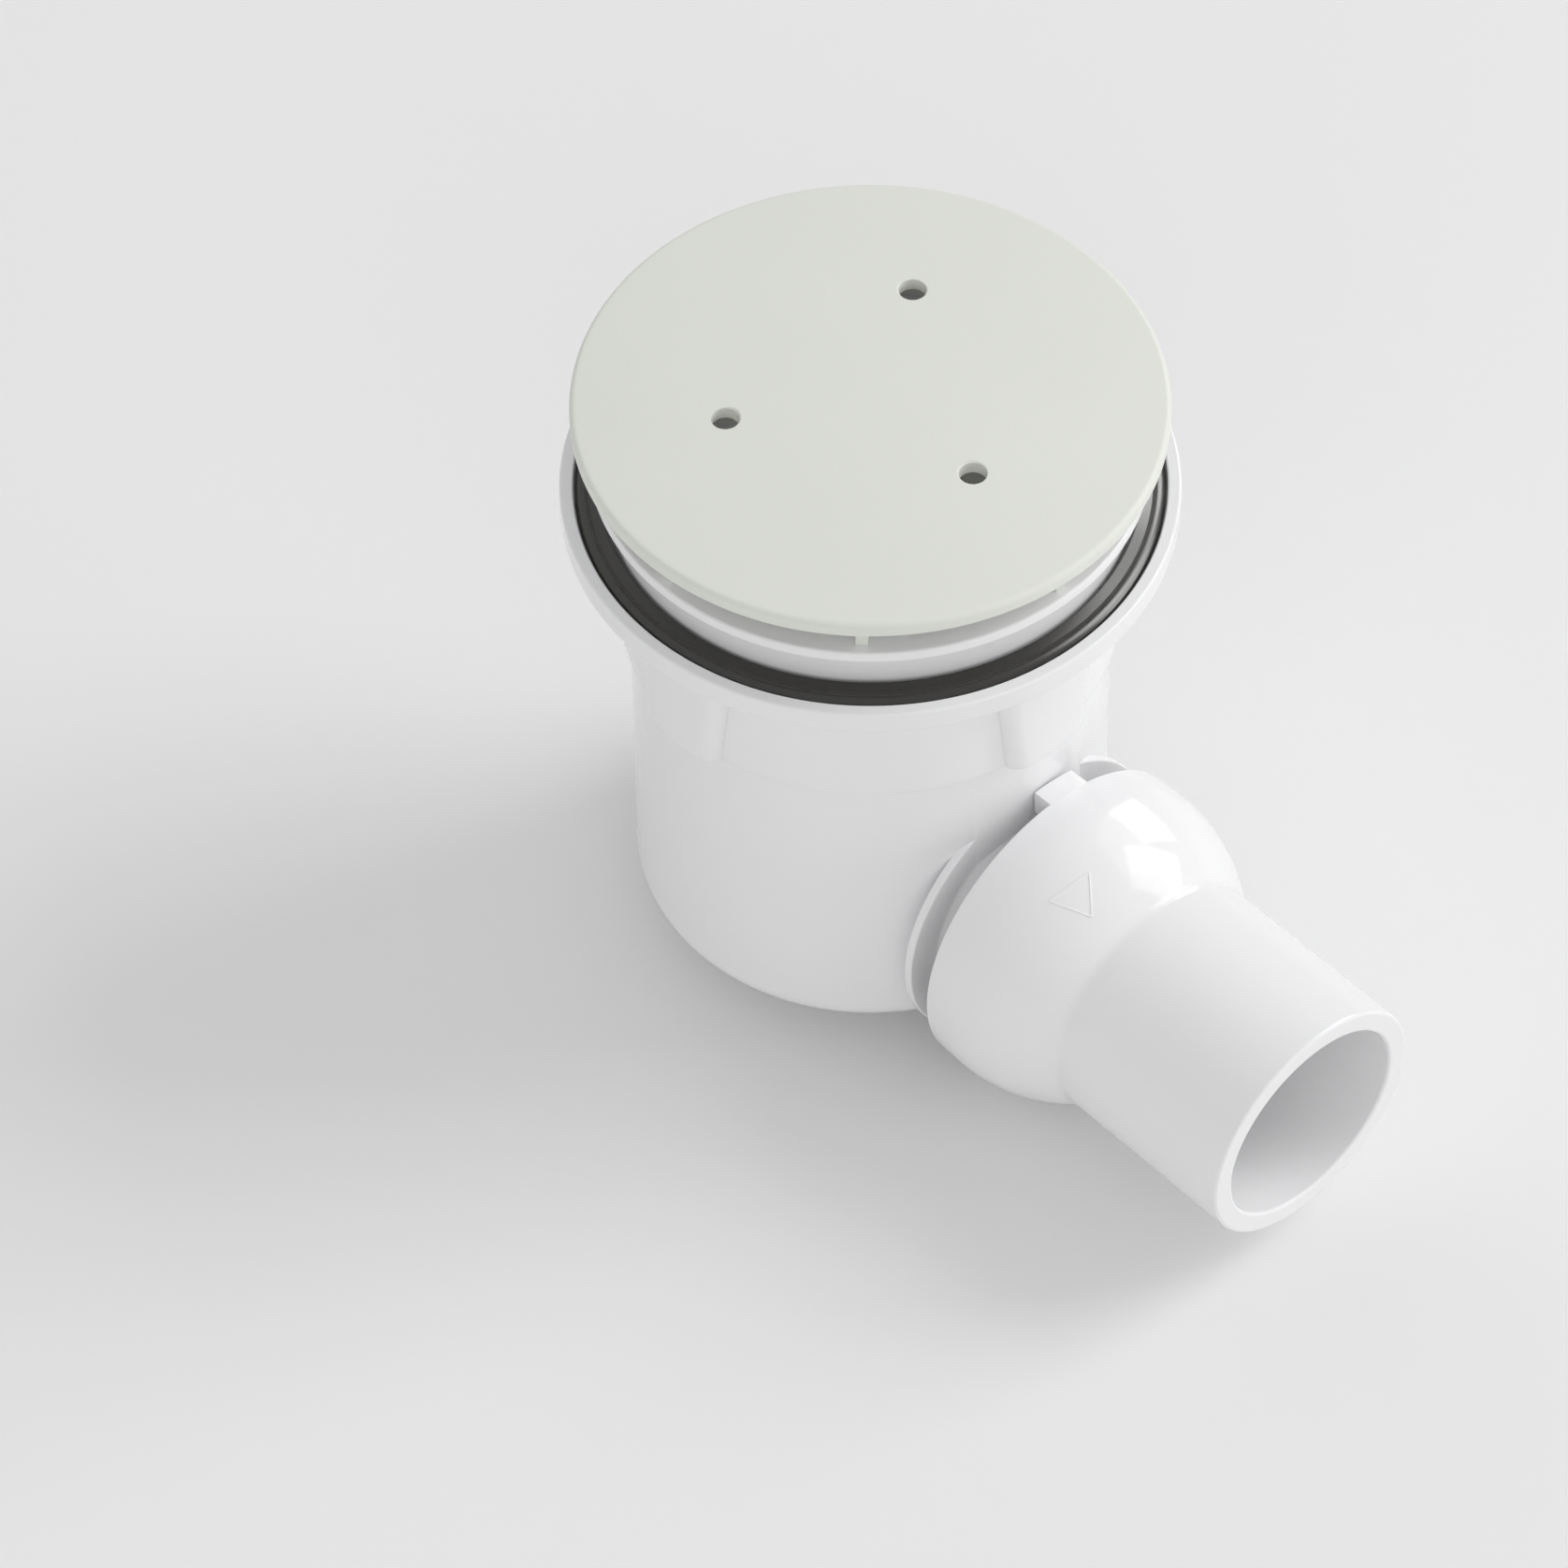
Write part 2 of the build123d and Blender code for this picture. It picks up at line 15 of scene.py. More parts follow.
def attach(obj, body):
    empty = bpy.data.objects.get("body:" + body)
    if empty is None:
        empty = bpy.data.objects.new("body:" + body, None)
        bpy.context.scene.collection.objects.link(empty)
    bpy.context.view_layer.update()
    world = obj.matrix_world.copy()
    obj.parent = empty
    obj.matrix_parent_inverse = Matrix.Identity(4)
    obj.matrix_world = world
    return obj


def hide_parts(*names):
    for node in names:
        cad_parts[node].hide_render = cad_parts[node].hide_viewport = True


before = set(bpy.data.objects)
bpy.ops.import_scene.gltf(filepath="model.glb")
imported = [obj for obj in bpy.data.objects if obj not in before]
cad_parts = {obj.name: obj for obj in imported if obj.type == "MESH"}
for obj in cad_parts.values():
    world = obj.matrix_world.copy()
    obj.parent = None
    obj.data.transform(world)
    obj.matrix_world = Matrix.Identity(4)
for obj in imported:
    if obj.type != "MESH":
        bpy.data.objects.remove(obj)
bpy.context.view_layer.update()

Array = npt.NDArray[np.float64]
Corner = tuple[float, float, float]

log = logging.getLogger("shower_trap")

MM = 0.001
SHARP_ANGLE = math.radians(32.0)
TINY = 1e-9

# Steps in a rounded corner, distance in millimetres of the points that hold a corner's shading, and the
# number of such distances past which an edge gets those points.
ARC_STEPS = 6
SUPPORT = 0.15
SUPPORTED_EDGE = 6

# Degrees between the points of a block that goes part of the way round the outlet.
SECTOR_STEP = 1.5

OUTLET_WAY = np.array([1.0, 0.0, 0.0])
SIDE_WAY = np.array([0.0, 1.0, 0.0])
UP_WAY = np.array([0.0, 0.0, 1.0])
ORIGIN = np.zeros(3)


class Body(Enum):
    """Rigid bodies of the trap."""

    TRAP = "trap"
    OUTLET = "outlet"


class Join(Enum):
    """Ways of combining two closed shells."""

    ADD = "UNION"
    CUT = "DIFFERENCE"


# Outlines


def arc(centre: tuple[float, float], radius: float, start: float, end: float, count: int) -> Array:
    """Circle arc: the centre plus the radius times (cosine, sine) of an even run of angles.

    Args:
        centre: Middle of the circle.
        radius: Radius of the circle.
        start: First angle in degrees.
        end: Last angle in degrees.
        count: Number of points.

    Returns:
        Points of the arc, one per row.
    """
    angle = np.radians(np.linspace(start, end, count))
    return np.column_stack((centre[0] + radius * np.cos(angle), centre[1] + radius * np.sin(angle)))


def plain(points: Array) -> list[Corner]:
    """Points of a curve as corners with no rounding."""
    return [(float(a), float(b), 0.0) for a, b in points]


def rounded_outline(corners: Sequence[Corner], steps: int = ARC_STEPS, support: float = SUPPORT) -> Array:
    """Closed outline whose corners are swept by arcs tangent to both their edges.

    An arc's ends lie radius / tan(half the corner's angle) from the corner, and its points turn
    evenly from one end's direction to the other's. A long edge gets a point close to each of its
    ends, so that smooth shading stays at the corner.

    Args:
        corners: (across, along, radius) of each corner; radius 0 keeps the corner.
        steps: Points in each arc, less one.
        support: Distance from an arc of the point that holds its shading.

    Returns:
        Points of the outline, one per row.
    """
    table = np.asarray(corners, dtype=float)
    place, radius = table[:, :2], table[:, 2]
    back = np.roll(place, 1, axis=0) - place
    ahead = np.roll(place, -1, axis=0) - place
    back_length = np.linalg.norm(back, axis=1)
    ahead_length = np.linalg.norm(ahead, axis=1)
    back /= back_length[:, None]
    ahead /= ahead_length[:, None]
    half = np.arccos(np.clip(np.sum(back * ahead, axis=1), -1.0, 1.0)) / 2
    cut = np.where(radius > 0, radius / np.maximum(np.tan(half), TINY), 0.0)
    share = np.linspace(0.0, 1.0, steps + 1)[:, None]
    pieces: list[Array] = []
    for k in range(len(table)):
        first = place[k] + back[k] * cut[k]
        last = place[k] + ahead[k] * cut[k]
        run = place[k][None, :]
        if radius[k] > 0:
            middle = back[k] + ahead[k]
            centre = place[k] + middle / np.linalg.norm(middle) * radius[k] / math.sin(half[k])
            turn = math.pi - 2 * half[k]
            run = centre + (
                np.sin((1 - share) * turn) * (first - centre) + np.sin(share * turn) * (last - centre)
            ) / math.sin(turn)
        if back_length[k] > SUPPORTED_EDGE * support + cut[k]:
            pieces.append((first + back[k] * support)[None, :])
        pieces.append(run)
        if ahead_length[k] > SUPPORTED_EDGE * support + cut[k]:
            pieces.append((last + ahead[k] * support)[None, :])
    return np.vstack(pieces)


# Shells


@dataclass
class Shell:
    """Closed surface: points in millimetres and faces by point number."""

    points: Array
    faces: list[list[int]]

    def volume(self) -> float:
        """Signed volume, from fans of triangles over all faces.

        Returns:
            Cubic millimetres, below zero where the faces point inwards.
        """
        total = 0.0
        for size in {len(face) for face in self.faces}:
            ring = np.array([face for face in self.faces if len(face) == size])
            corner = self.points[ring]
            for k in range(1, size - 1):
                turned = np.cross(corner[:, k], corner[:, k + 1])
                total += float(np.sum(corner[:, 0] * turned)) / 6
        return total

    def outward(self) -> "Shell":
        """The shell with its faces pointing outwards.

        Returns:
            The same shell, its faces turned where they pointed inwards.
        """
        if self.volume() < 0:
            self.faces = [face[::-1] for face in self.faces]
        return self

    def turned(self, angle: float) -> "Shell":
        """A copy turned about the pot's axis.

        Args:
            angle: Angle in degrees.

        Returns:
            The turned copy.
        """
        a = math.radians(angle)
        spin = np.array([[math.cos(a), -math.sin(a), 0], [math.sin(a), math.cos(a), 0], [0, 0, 1]])
        return Shell(self.points @ spin.T, [list(face) for face in self.faces])

    def spread(self, count: int, first: float = 0.0) -> list["Shell"]:
        """Copies at even angles round the pot, from a first angle in degrees."""
        return [self.turned(first + 360 * k / count) for k in range(count)]

    def mesh(self, name: str) -> bpy.types.Mesh:
        """The shell as a mesh in metres.

        Args:
            name: Name of the mesh.

        Returns:
            The mesh.
        """
        mesh = bpy.data.meshes.new(name)
        mesh.from_pydata((self.points * MM).tolist(), [], self.faces)
        mesh.validate()
        return mesh


def grid_faces(rows: int, columns: int, wrap_rows: bool, wrap_columns: bool) -> list[list[int]]:
    """Four-cornered faces between the neighbouring points of a grid.

    Args:
        rows: Number of rows.
        columns: Number of columns.
        wrap_rows: Whether the last row joins the first.
        wrap_columns: Whether the last column joins the first.

    Returns:
        Point numbers of each face.
    """
    i = np.arange(rows if wrap_rows else rows - 1)[:, None]
    j = np.arange(columns if wrap_columns else columns - 1)[None, :]
    here, below = i * columns, ((i + 1) % rows) * columns
    right = (j + 1) % columns
    corners = np.broadcast_arrays(here + j, here + right, below + right, below + j)
    return np.stack(corners, -1).reshape(-1, 4).tolist()


def ring_shell(grid: Array) -> Shell:
    """Shell of a closed outline carried round a closed path: the grid joins up both ways."""
    rows, columns = grid.shape[:2]
    return Shell(grid.reshape(-1, 3), grid_faces(rows, columns, True, True)).outward()


def capped_shell(grid: Array) -> Shell:
    """Shell of a grid of closed rows whose first and last row each shrink to one point.

    Args:
        grid: Points by row and column.

    Returns:
        The closed shell.
    """
    rows, columns = grid.shape[:2]
    middle = grid[1:-1]
    points = np.vstack((middle.reshape(-1, 3), grid[0, :1], grid[-1, :1]))
    faces = grid_faces(rows - 2, columns, False, True)
    j = np.arange(columns)
    j2 = (j + 1) % columns
    low, high = len(points) - 2, len(points) - 1
    last = (rows - 3) * columns
    faces += np.column_stack((np.full(columns, low), j2, j)).tolist()
    faces += np.column_stack((np.full(columns, high), last + j, last + j2)).tolist()
    return Shell(points, faces).outward()


def prism(outline: Array, thickness: float, along: Array, up: Array, centre: Array) -> Shell:
    """Flat piece: an outline in the plane of two directions, carried half the thickness each way.

    Args:
        outline: Closed outline of (along, up).
        thickness: Distance between the two faces.
        along: First direction of the plane.
        up: Second direction of the plane.
        centre: Point from which the outline is measured.

    Returns:
        The closed shell.
    """
    across = np.cross(along, up)
    flat = centre + outline[:, :1] * along + outline[:, 1:] * up
    count = len(outline)
    points = np.vstack((flat - across * thickness / 2, flat + across * thickness / 2))
    faces = grid_faces(2, count, False, True)
    faces += [list(range(count - 1, -1, -1)), list(range(count, 2 * count))]
    return Shell(points, faces).outward()


def turned_about_pot(profile: Array, turns: Array) -> Array:
    """Grid of a profile of (radius, height) turned about the pot's axis: (r cos t, r sin t, z)."""
    r, z = profile[:, :1], profile[:, 1:]
    return np.stack(np.broadcast_arrays(r * np.cos(turns), r * np.sin(turns), z), -1)


def turned_about_outlet(profile: Array, turns: Array, height: float) -> Array:
    """Grid of a profile of (reach, radius) turned about the outlet: (x, -r sin t, height + r cos t)."""
    x, r = profile[:, :1], profile[:, 1:]
    return np.stack(np.broadcast_arrays(x, -r * np.sin(turns), height + r * np.cos(turns)), -1)


def full_turn(count: int) -> Array:
    """Even run of angles once round."""
    return np.linspace(0.0, 2 * math.pi, count, endpoint=False)[None, :]


def outlet_sector(outline: Array, start: float, width: float, height: float) -> Shell:
    """Block carried part of the way round the outlet, closed by a flat face at each end.

    Args:
        outline: Closed outline of (reach, radius).
        start: First angle in degrees, from straight up.
        width: Angle covered in degrees.
        height: Height of the outlet's axis.

    Returns:
        The closed shell.
    """
    count = max(3, int(width / SECTOR_STEP))
    turns = np.radians(np.linspace(start, start + width, count))[None, :]
    grid = turned_about_outlet(outline, turns, height)
    rows = len(outline)
    faces = grid_faces(rows, count, True, False)
    first = (np.arange(rows) * count).tolist()
    last = (np.arange(rows) * count + count - 1).tolist()
    return Shell(grid.reshape(-1, 3), faces + [first, last[::-1]]).outward()


# Finishes


def linear(colour: tuple[int, int, int]) -> tuple[float, float, float, float]:
    """Display colour as a linear colour: a straight line near black, a power of 2.4 above it.

    Args:
        colour: Red, green and blue of 0 to 255.

    Returns:
        Red, green and blue of 0 to 1, and full cover.
    """
    c = np.array(colour) / 255
    value = np.where(c <= 0.04045, c / 12.92, ((c + 0.055) / 1.055) ** 2.4)
    return (float(value[0]), float(value[1]), float(value[2]), 1.0)


# Patterns in a moulded skin: repeats in a metre and number of finer layers.
CLOUD_SCALE, CLOUD_DETAIL = 22.0, 3.0
SMEAR_SCALE, SMEAR_DETAIL = 140.0, 4.0
GRAIN_DETAIL = 2.0

# Values of the smear that get the lowest and the highest roughness.
SMEAR_LOW, SMEAR_HIGH = 0.3, 0.7


@dataclass(frozen=True)
class Finish:
    """Moulded surface: cloudy tone, uneven gloss and a fine grain.

    Attributes:
        name: Name of the material.
        slot: Slot of the record that it belongs to; not used.
        light: Display colour of the lighter tone.
        deep: Display colour of the deeper tone.
        gloss: Lowest and highest roughness.
        grain: Height of the grain in metres.
        grain_size: Repeats of the grain in a metre.
        specular: Strength of the plain reflection.
        bend: Index by which the skin bends light.
    """

    name: str
    slot: str
    light: tuple[int, int, int]
    deep: tuple[int, int, int]
    gloss: tuple[float, float]
    grain: float
    grain_size: float
    specular: float = 0.5
    bend: float = 1.5

    def material(self) -> bpy.types.Material:
        """Makes the material's nodes.

        Returns:
            The material, reading the piece's own place in metres.
        """
        material = bpy.data.materials.new(self.name)
        material.use_nodes = True
        nodes, links = material.node_tree.nodes, material.node_tree.links
        shader = nodes["Principled BSDF"]
        shader.inputs["Specular IOR Level"].default_value = self.specular
        shader.inputs["IOR"].default_value = self.bend
        place = nodes.new("ShaderNodeTexCoord").outputs["Object"]

        cloud = self.noise(material, place, CLOUD_SCALE, CLOUD_DETAIL)
        tone = nodes.new("ShaderNodeMix")
        tone.data_type = "RGBA"
        tone.inputs["A"].default_value = linear(self.light)
        tone.inputs["B"].default_value = linear(self.deep)
        links.new(cloud, tone.inputs["Factor"])
        links.new(tone.outputs["Result"], shader.inputs["Base Color"])

        smear = self.noise(material, place, SMEAR_SCALE, SMEAR_DETAIL)
        gloss = nodes.new("ShaderNodeMapRange")
        gloss.inputs["From Min"].default_value = SMEAR_LOW
        gloss.inputs["From Max"].default_value = SMEAR_HIGH
        gloss.inputs["To Min"].default_value = self.gloss[0]
        gloss.inputs["To Max"].default_value = self.gloss[1]
        links.new(smear, gloss.inputs["Value"])
        links.new(gloss.outputs["Result"], shader.inputs["Roughness"])

        bump = nodes.new("ShaderNodeBump")
        bump.inputs["Distance"].default_value = self.grain
        bump.inputs["Strength"].default_value = 1.0
        grain = self.noise(material, place, self.grain_size, GRAIN_DETAIL)
        links.new(grain, bump.inputs["Height"])
        links.new(bump.outputs["Normal"], shader.inputs["Normal"])
        return material

    @staticmethod
    def noise(material: bpy.types.Material, place: bpy.types.NodeSocket, scale: float,
              detail: float) -> bpy.types.NodeSocket:
        """Adds a cloud pattern.

        Args:
            material: Material that gets it.
            place: Socket with the place on the piece.
            scale: Repeats in a metre.
            detail: Number of finer layers.

        Returns:
            Socket with the pattern's value.
        """
        node = material.node_tree.nodes.new("ShaderNodeTexNoise")
        node.inputs["Scale"].default_value = scale
        node.inputs["Detail"].default_value = detail
        material.node_tree.links.new(place, node.inputs["Vector"])
        return node.outputs["Fac"]


WHITE_PLASTIC = Finish(
    "white_moulding", "white_plastic", light=(247, 247, 248), deep=(244, 244, 245),
    gloss=(0.07, 0.11), grain=0.000003, grain_size=900.0, specular=0.3)
COVER_PLASTIC = Finish(
    "sage_cover", "cover_plastic", light=(234, 236, 229), deep=(229, 231, 224),
    gloss=(0.42, 0.52), grain=0.00002, grain_size=2600.0, specular=0.25)
GASKET_RUBBER = Finish(
    "tray_rubber", "gasket_rubber", light=(29, 26, 19), deep=(23, 20, 14),
    gloss=(0.2, 0.26), grain=0.000001, grain_size=1500.0, specular=0.5, bend=1.8)
INSERT_PLASTIC = Finish(
    "insert_moulding", "insert_plastic", light=(240, 240, 238), deep=(234, 234, 231),
    gloss=(0.3, 0.4), grain=0.00002, grain_size=900.0)
SEAL_RUBBER = Finish(
    "ring_rubber", "seal_rubber", light=(34, 34, 34), deep=(27, 27, 27),
    gloss=(0.4, 0.5), grain=0.00002, grain_size=1500.0)


# Pieces


@dataclass
class Piece:
    """One moulding of the trap.

    Attributes:
        name: Name of the finished piece.
        node: Solid that it stands for, or nothing where it is added to another.
        body: Body that it moves with.
        finish: Surface finish.
    """

    name: str
    node: str
    body: Body
    finish: Finish

    def build(self) -> bpy.types.Object:
        """Builds the piece, each kind in its own way."""
        raise NotImplementedError

    def finished(self, base: Shell, *steps: tuple[Join, Iterable[Shell]]) -> bpy.types.Object:
        """Combines shells into one closed mesh, shades it and hands it over.

        Args:
            base: First shell.
            steps: Shells to add or cut, in order.

        Returns:
            The finished object.
        """
        collection = bpy.context.scene.collection
        obj = bpy.data.objects.new(self.name, base.mesh(self.name))
        collection.objects.link(obj)
        helpers: list[bpy.types.Object] = []
        for join, shells in steps:
            for shell in shells:
                helper = bpy.data.objects.new("helper", shell.mesh("helper"))
                collection.objects.link(helper)
                helpers.append(helper)
                modifier = obj.modifiers.new(join.name, "BOOLEAN")
                modifier.operation = join.value
                modifier.solver = "MANIFOLD"
                modifier.object = helper
        if helpers:
            view = bpy.context.evaluated_depsgraph_get()
            whole = bpy.data.meshes.new_from_object(obj.evaluated_get(view))
            obj.modifiers.clear()
            obj.data = whole
            whole.name = self.name
        for helper in helpers:
            bpy.data.objects.remove(helper)
        return self.handed_over(obj)

    def handed_over(self, obj: bpy.types.Object) -> bpy.types.Object:
        """Shades a mesh, gives it its finish and fixes it to its body.

        Args:
            obj: The mesh's object.

        Returns:
            The same object.
        """
        mesh = obj.data
        mesh.polygons.foreach_set("use_smooth", np.ones(len(mesh.polygons), dtype=bool))
        mesh.set_sharp_from_angle(angle=SHARP_ANGLE)
        mesh.materials.clear()
        mesh.materials.append(finish_material(self.finish))
        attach(obj, self.body.value)
        if self.node:
            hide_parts(self.node)
        log.info("%s: %d faces, rides on %s", obj.name, len(mesh.polygons), self.body.value)
        return obj


def finish_material(finish: Finish) -> bpy.types.Material:
    """The finish's material, made once."""
    return bpy.data.materials.get(finish.name) or finish.material()


@dataclass
class OutletSizes:
    """Sizes that the pot's stub and the outlet share, in millimetres and degrees."""

    axis_height: float = -81.8
    stub_radius: float = 23.4
    stub_bore: float = 19.8
    stub_end: float = 66.0
    hood_rim: float = 49.58
    hood_bore: float = 29.46
    claw_start: float = 49.98
    claw_end: float = 53.18
    claw_first: float = -31.0
    claw_width: float = 40.0
    lug_start: float = 53.58
    lug_end: float = 56.18
    lug_radius: float = 28.46
    stop_play: float = 1.0
    stop_width: float = 5.0

    def block(self, start: float, end: float, inner: float, outer: float, first: float, width: float,
              edge: float = 0.3) -> Shell:
        """Block round the outlet with softened long edges.

        Args:
            start: Nearest reach.
            end: Furthest reach.
            inner: Inner radius.
            outer: Outer radius.
            first: First angle.
            width: Angle covered.
            edge: Rounding of the long edges.

        Returns:
            The closed shell.
        """
        outline = rounded_outline([
            (start, inner, edge), (end, inner, edge), (end, outer, edge), (start, outer, edge)])
        return outlet_sector(outline, first, width, self.axis_height)

    def claw_places(self) -> tuple[float, float]:
        """First angles of the two claws, which face each other."""
        return self.claw_first, self.claw_first + 180


@dataclass
class Pot(Piece):
    """The pot: flange with gasket seat, collar with raised pads, chamber and outlet stub."""

    outlet: OutletSizes
    body_radius: float = 45.1
    body_round: float = 5.5
    bottom: float = -104.6
    floor_top: float = -101.6
    wall: float = 3.0
    collar_radius: float = 47.0
    collar_bottom: float = -34.8
    thread_radius: float = 44.2
    thread_end: float = -32.3
    flange_radius: float = 57.4
    flange_bottom: float = -4.9
    flange_round: float = 0.5
    seat_radius: float = 54.85
    seat_height: float = -2.0
    pad_count: int = 4
    pad_height: float = 2.7
    pad_half: float = 9.6
    pad_half_low: float = 5.9
    pad_top: float = -2.45
    pad_flare: float = 3.3
    disc_radius: float = 30.2
    disc_back: float = 41.25
    disc_face: float = 43.05
    groove_radius: float = 21.6
    groove_start: float = 60.1
    groove_end: float = 63.5
    collar_round: float = 0.4
    top_ring: float = 20.0
    chamber_round: float = 2.5
    thread_round: float = 0.5
    seat_edge: float = 0.4
    seat_round: float = 0.3
    mouth_slope: float = 0.3
    mouth_round: float = 0.2
    mouth_hair: float = 0.02
    mouth_overrun: float = 6.0
    disc_round: float = 0.4
    stub_root: float = 35.0
    stub_fillet: float = 0.6
    stub_round: float = 0.5
    groove_edge: float = 0.15
    groove_round: float = 0.2
    lug_sunk: float = 1.8
    stop_inset: float = 0.05
    bore_start: float = 10.0
    bore_middle: float = 40.0
    bore_flare: float = 0.5
    bore_overrun: float = 4.0
    face_points: int = 11
    flank_points: int = 15
    gap_points: int = 40
    foot_steps: int = 10
    collar_rows: int = 20
    chamber_columns: int = 240
    stub_columns: int = 192

    def pad_columns(self, heights: Array) -> tuple[Array, Array]:
        """Angles round the pot and height of the pads over the collar, row by row.

        A pad's face is level. On its flank the way from face edge to root is sin t and the relief is the
        pad's height times cos t, a quarter of an ellipse. The edge draws in evenly towards the foot, and
        the columns follow it.

        Args:
            heights: Heights of the rows, one per row.

        Returns:
            Angles and relief, each of rows by columns.
        """
        pitch = 2 * math.pi / self.pad_count
        share = np.clip((heights - self.collar_bottom) / (self.pad_top - self.collar_bottom), 0, 1)
        half = self.pad_half_low + (self.pad_half - self.pad_half_low) * share
        edge = half / (self.collar_radius + self.pad_height)
        root = (half + self.pad_flare) / self.collar_radius
        t = np.linspace(0, math.pi / 2, self.flank_points)[None, :]
        face = edge * np.linspace(-1, 1, self.face_points)[None, 1:-1]
        flank = edge + (root - edge) * np.sin(t)
        between = root + (pitch - 2 * root) * np.linspace(0, 1, self.gap_points)[None, 1:-1]
        one = np.hstack((face, flank, between, pitch - flank[:, ::-1]))
        fall = self.pad_height * np.broadcast_to(np.cos(t), flank.shape)
        level, plain_wall = np.full(face.shape, self.pad_height), np.zeros(between.shape)
        relief = np.hstack((level, fall, plain_wall, fall[:, ::-1]))
        turns = np.hstack([one + pitch * k for k in range(self.pad_count)])
        return turns, np.tile(relief, (1, self.pad_count))

    def outside(self) -> Shell:
        """Outside of pot, collar, pads and flange.

        Returns:
            The closed shell, still full inside.
        """
        edge = self.collar_round
        foot = rounded_outline([
            (0, self.bottom, 0), (self.body_radius, self.bottom, self.body_round),
            (self.body_radius, self.collar_bottom, 0), (0, self.collar_bottom, 0)], steps=self.foot_steps)
        foot = foot[(foot[:, 0] > 0) & ((foot[:, 1] < self.collar_bottom) | (foot[:, 0] >= self.body_radius))]
        lip = arc((self.collar_radius - edge, self.collar_bottom + edge), edge, -90, 0, ARC_STEPS)
        wall = np.linspace(self.collar_bottom + edge, self.flange_bottom, self.collar_rows)[1:]
        collar = np.column_stack((np.full(len(wall), self.collar_radius), wall))
        r = self.flange_round
        rim_low = arc((self.flange_radius - r, self.flange_bottom + r), r, -90, 0, ARC_STEPS + 1)
        rim_high = arc((self.flange_radius - r, -r), r, 0, 90, ARC_STEPS + 1)
        flange = np.vstack((
            [(self.flange_radius - r - SUPPORT, self.flange_bottom)], rim_low,
            [(self.flange_radius, self.flange_bottom + r + SUPPORT), (self.flange_radius, -r - SUPPORT)],
            rim_high, [(self.flange_radius - r - SUPPORT, 0)]))
        start = np.array([[0, self.bottom]])
        end = np.array([[self.top_ring, 0], [0, 0]])
        profile = np.vstack((start, foot, lip, collar, flange, end))
        raised = np.zeros(len(profile), dtype=bool)
        first = len(start) + len(foot)
        raised[first:first + len(lip) + len(collar)] = True
        turns, relief = self.pad_columns(profile[:, 1:])
        relief = relief * raised[:, None]
        grid = turned_about_pot(profile, turns)
        radial = np.stack((np.cos(turns), np.sin(turns), np.zeros_like(turns)), -1)
        return capped_shell(grid + relief[:, :, None] * radial)

    def cavity(self) -> Shell:
        """Space in the pot: gasket seat, threaded collar and chamber.

        Returns:
            The closed shell.
        """
        inner = self.body_radius - self.wall
        mouth = self.seat_radius + self.mouth_slope
        profile = rounded_outline([
            (0, self.floor_top, 0), (inner, self.floor_top, self.chamber_round),
            (inner, self.collar_bottom, self.thread_round),
            (self.thread_radius, self.thread_end, self.thread_round),
            (self.thread_radius, self.seat_height, self.seat_edge),
            (self.seat_radius, self.seat_height, self.seat_round),
            (self.seat_radius, -self.mouth_slope, self.mouth_round), (mouth, self.mouth_hair, 0),
            (mouth, self.mouth_overrun, 0), (0, self.mouth_overrun, 0)])
        return capped_shell(turned_about_pot(profile, full_turn(self.chamber_columns)))

    def stub(self) -> list[Shell]:
        """Outlet stub with disc and seal groove, and its bayonet lugs and stops.

        Returns:
            The stub, then its lugs and stops, as closed shells.
        """
        o = self.outlet
        profile = rounded_outline([
            (self.stub_root, 0, 0), (self.stub_root, o.stub_radius, 0), (self.disc_back, o.stub_radius, 0),
            (self.disc_back, self.disc_radius, self.disc_round),
            (self.disc_face, self.disc_radius, self.disc_round),
            (self.disc_face, o.stub_radius, self.stub_fillet),
            (self.groove_start, o.stub_radius, self.groove_edge),
            (self.groove_start, self.groove_radius, self.groove_round),
            (self.groove_end, self.groove_radius, self.groove_round),
            (self.groove_end, o.stub_radius, self.groove_edge),
            (o.stub_end, o.stub_radius, self.stub_round), (o.stub_end, 0, 0)])
        shells = [capped_shell(turned_about_outlet(profile, full_turn(self.stub_columns), o.axis_height))]
        inner, inset = o.stub_radius - self.lug_sunk, self.stop_inset
        for first in o.claw_places():
            stop = first + o.claw_width + o.stop_play
            reach = o.claw_width + o.stop_play + o.stop_width
            shells.append(o.block(o.lug_start, o.lug_end, inner, o.lug_radius, first, reach))
            shells.append(o.block(
                o.claw_start, o.lug_end - inset, inner, o.lug_radius - inset, stop, o.stop_width - 2 * inset))
        return shells

    def bore(self) -> Shell:
        """Waterway through the stub, a little wider at its end.

        Returns:
            The closed shell.
        """
        o, flare = self.outlet, self.bore_flare
        past = o.stub_end + self.bore_overrun
        profile = np.vstack((
            [(self.bore_start, 0.0), (self.bore_start, o.stub_bore), (self.bore_middle, o.stub_bore)],
            arc((o.stub_end - flare, o.stub_bore + flare), flare, -90, 0, ARC_STEPS),
            [(past, o.stub_bore + flare), (past, 0.0)]))
        return capped_shell(turned_about_outlet(profile, full_turn(self.stub_columns), o.axis_height))

    def build(self) -> bpy.types.Object:
        """Builds the pot."""
        cuts = [self.cavity(), self.bore()]
        return self.finished(self.outside(), (Join.ADD, self.stub()), (Join.CUT, cuts))


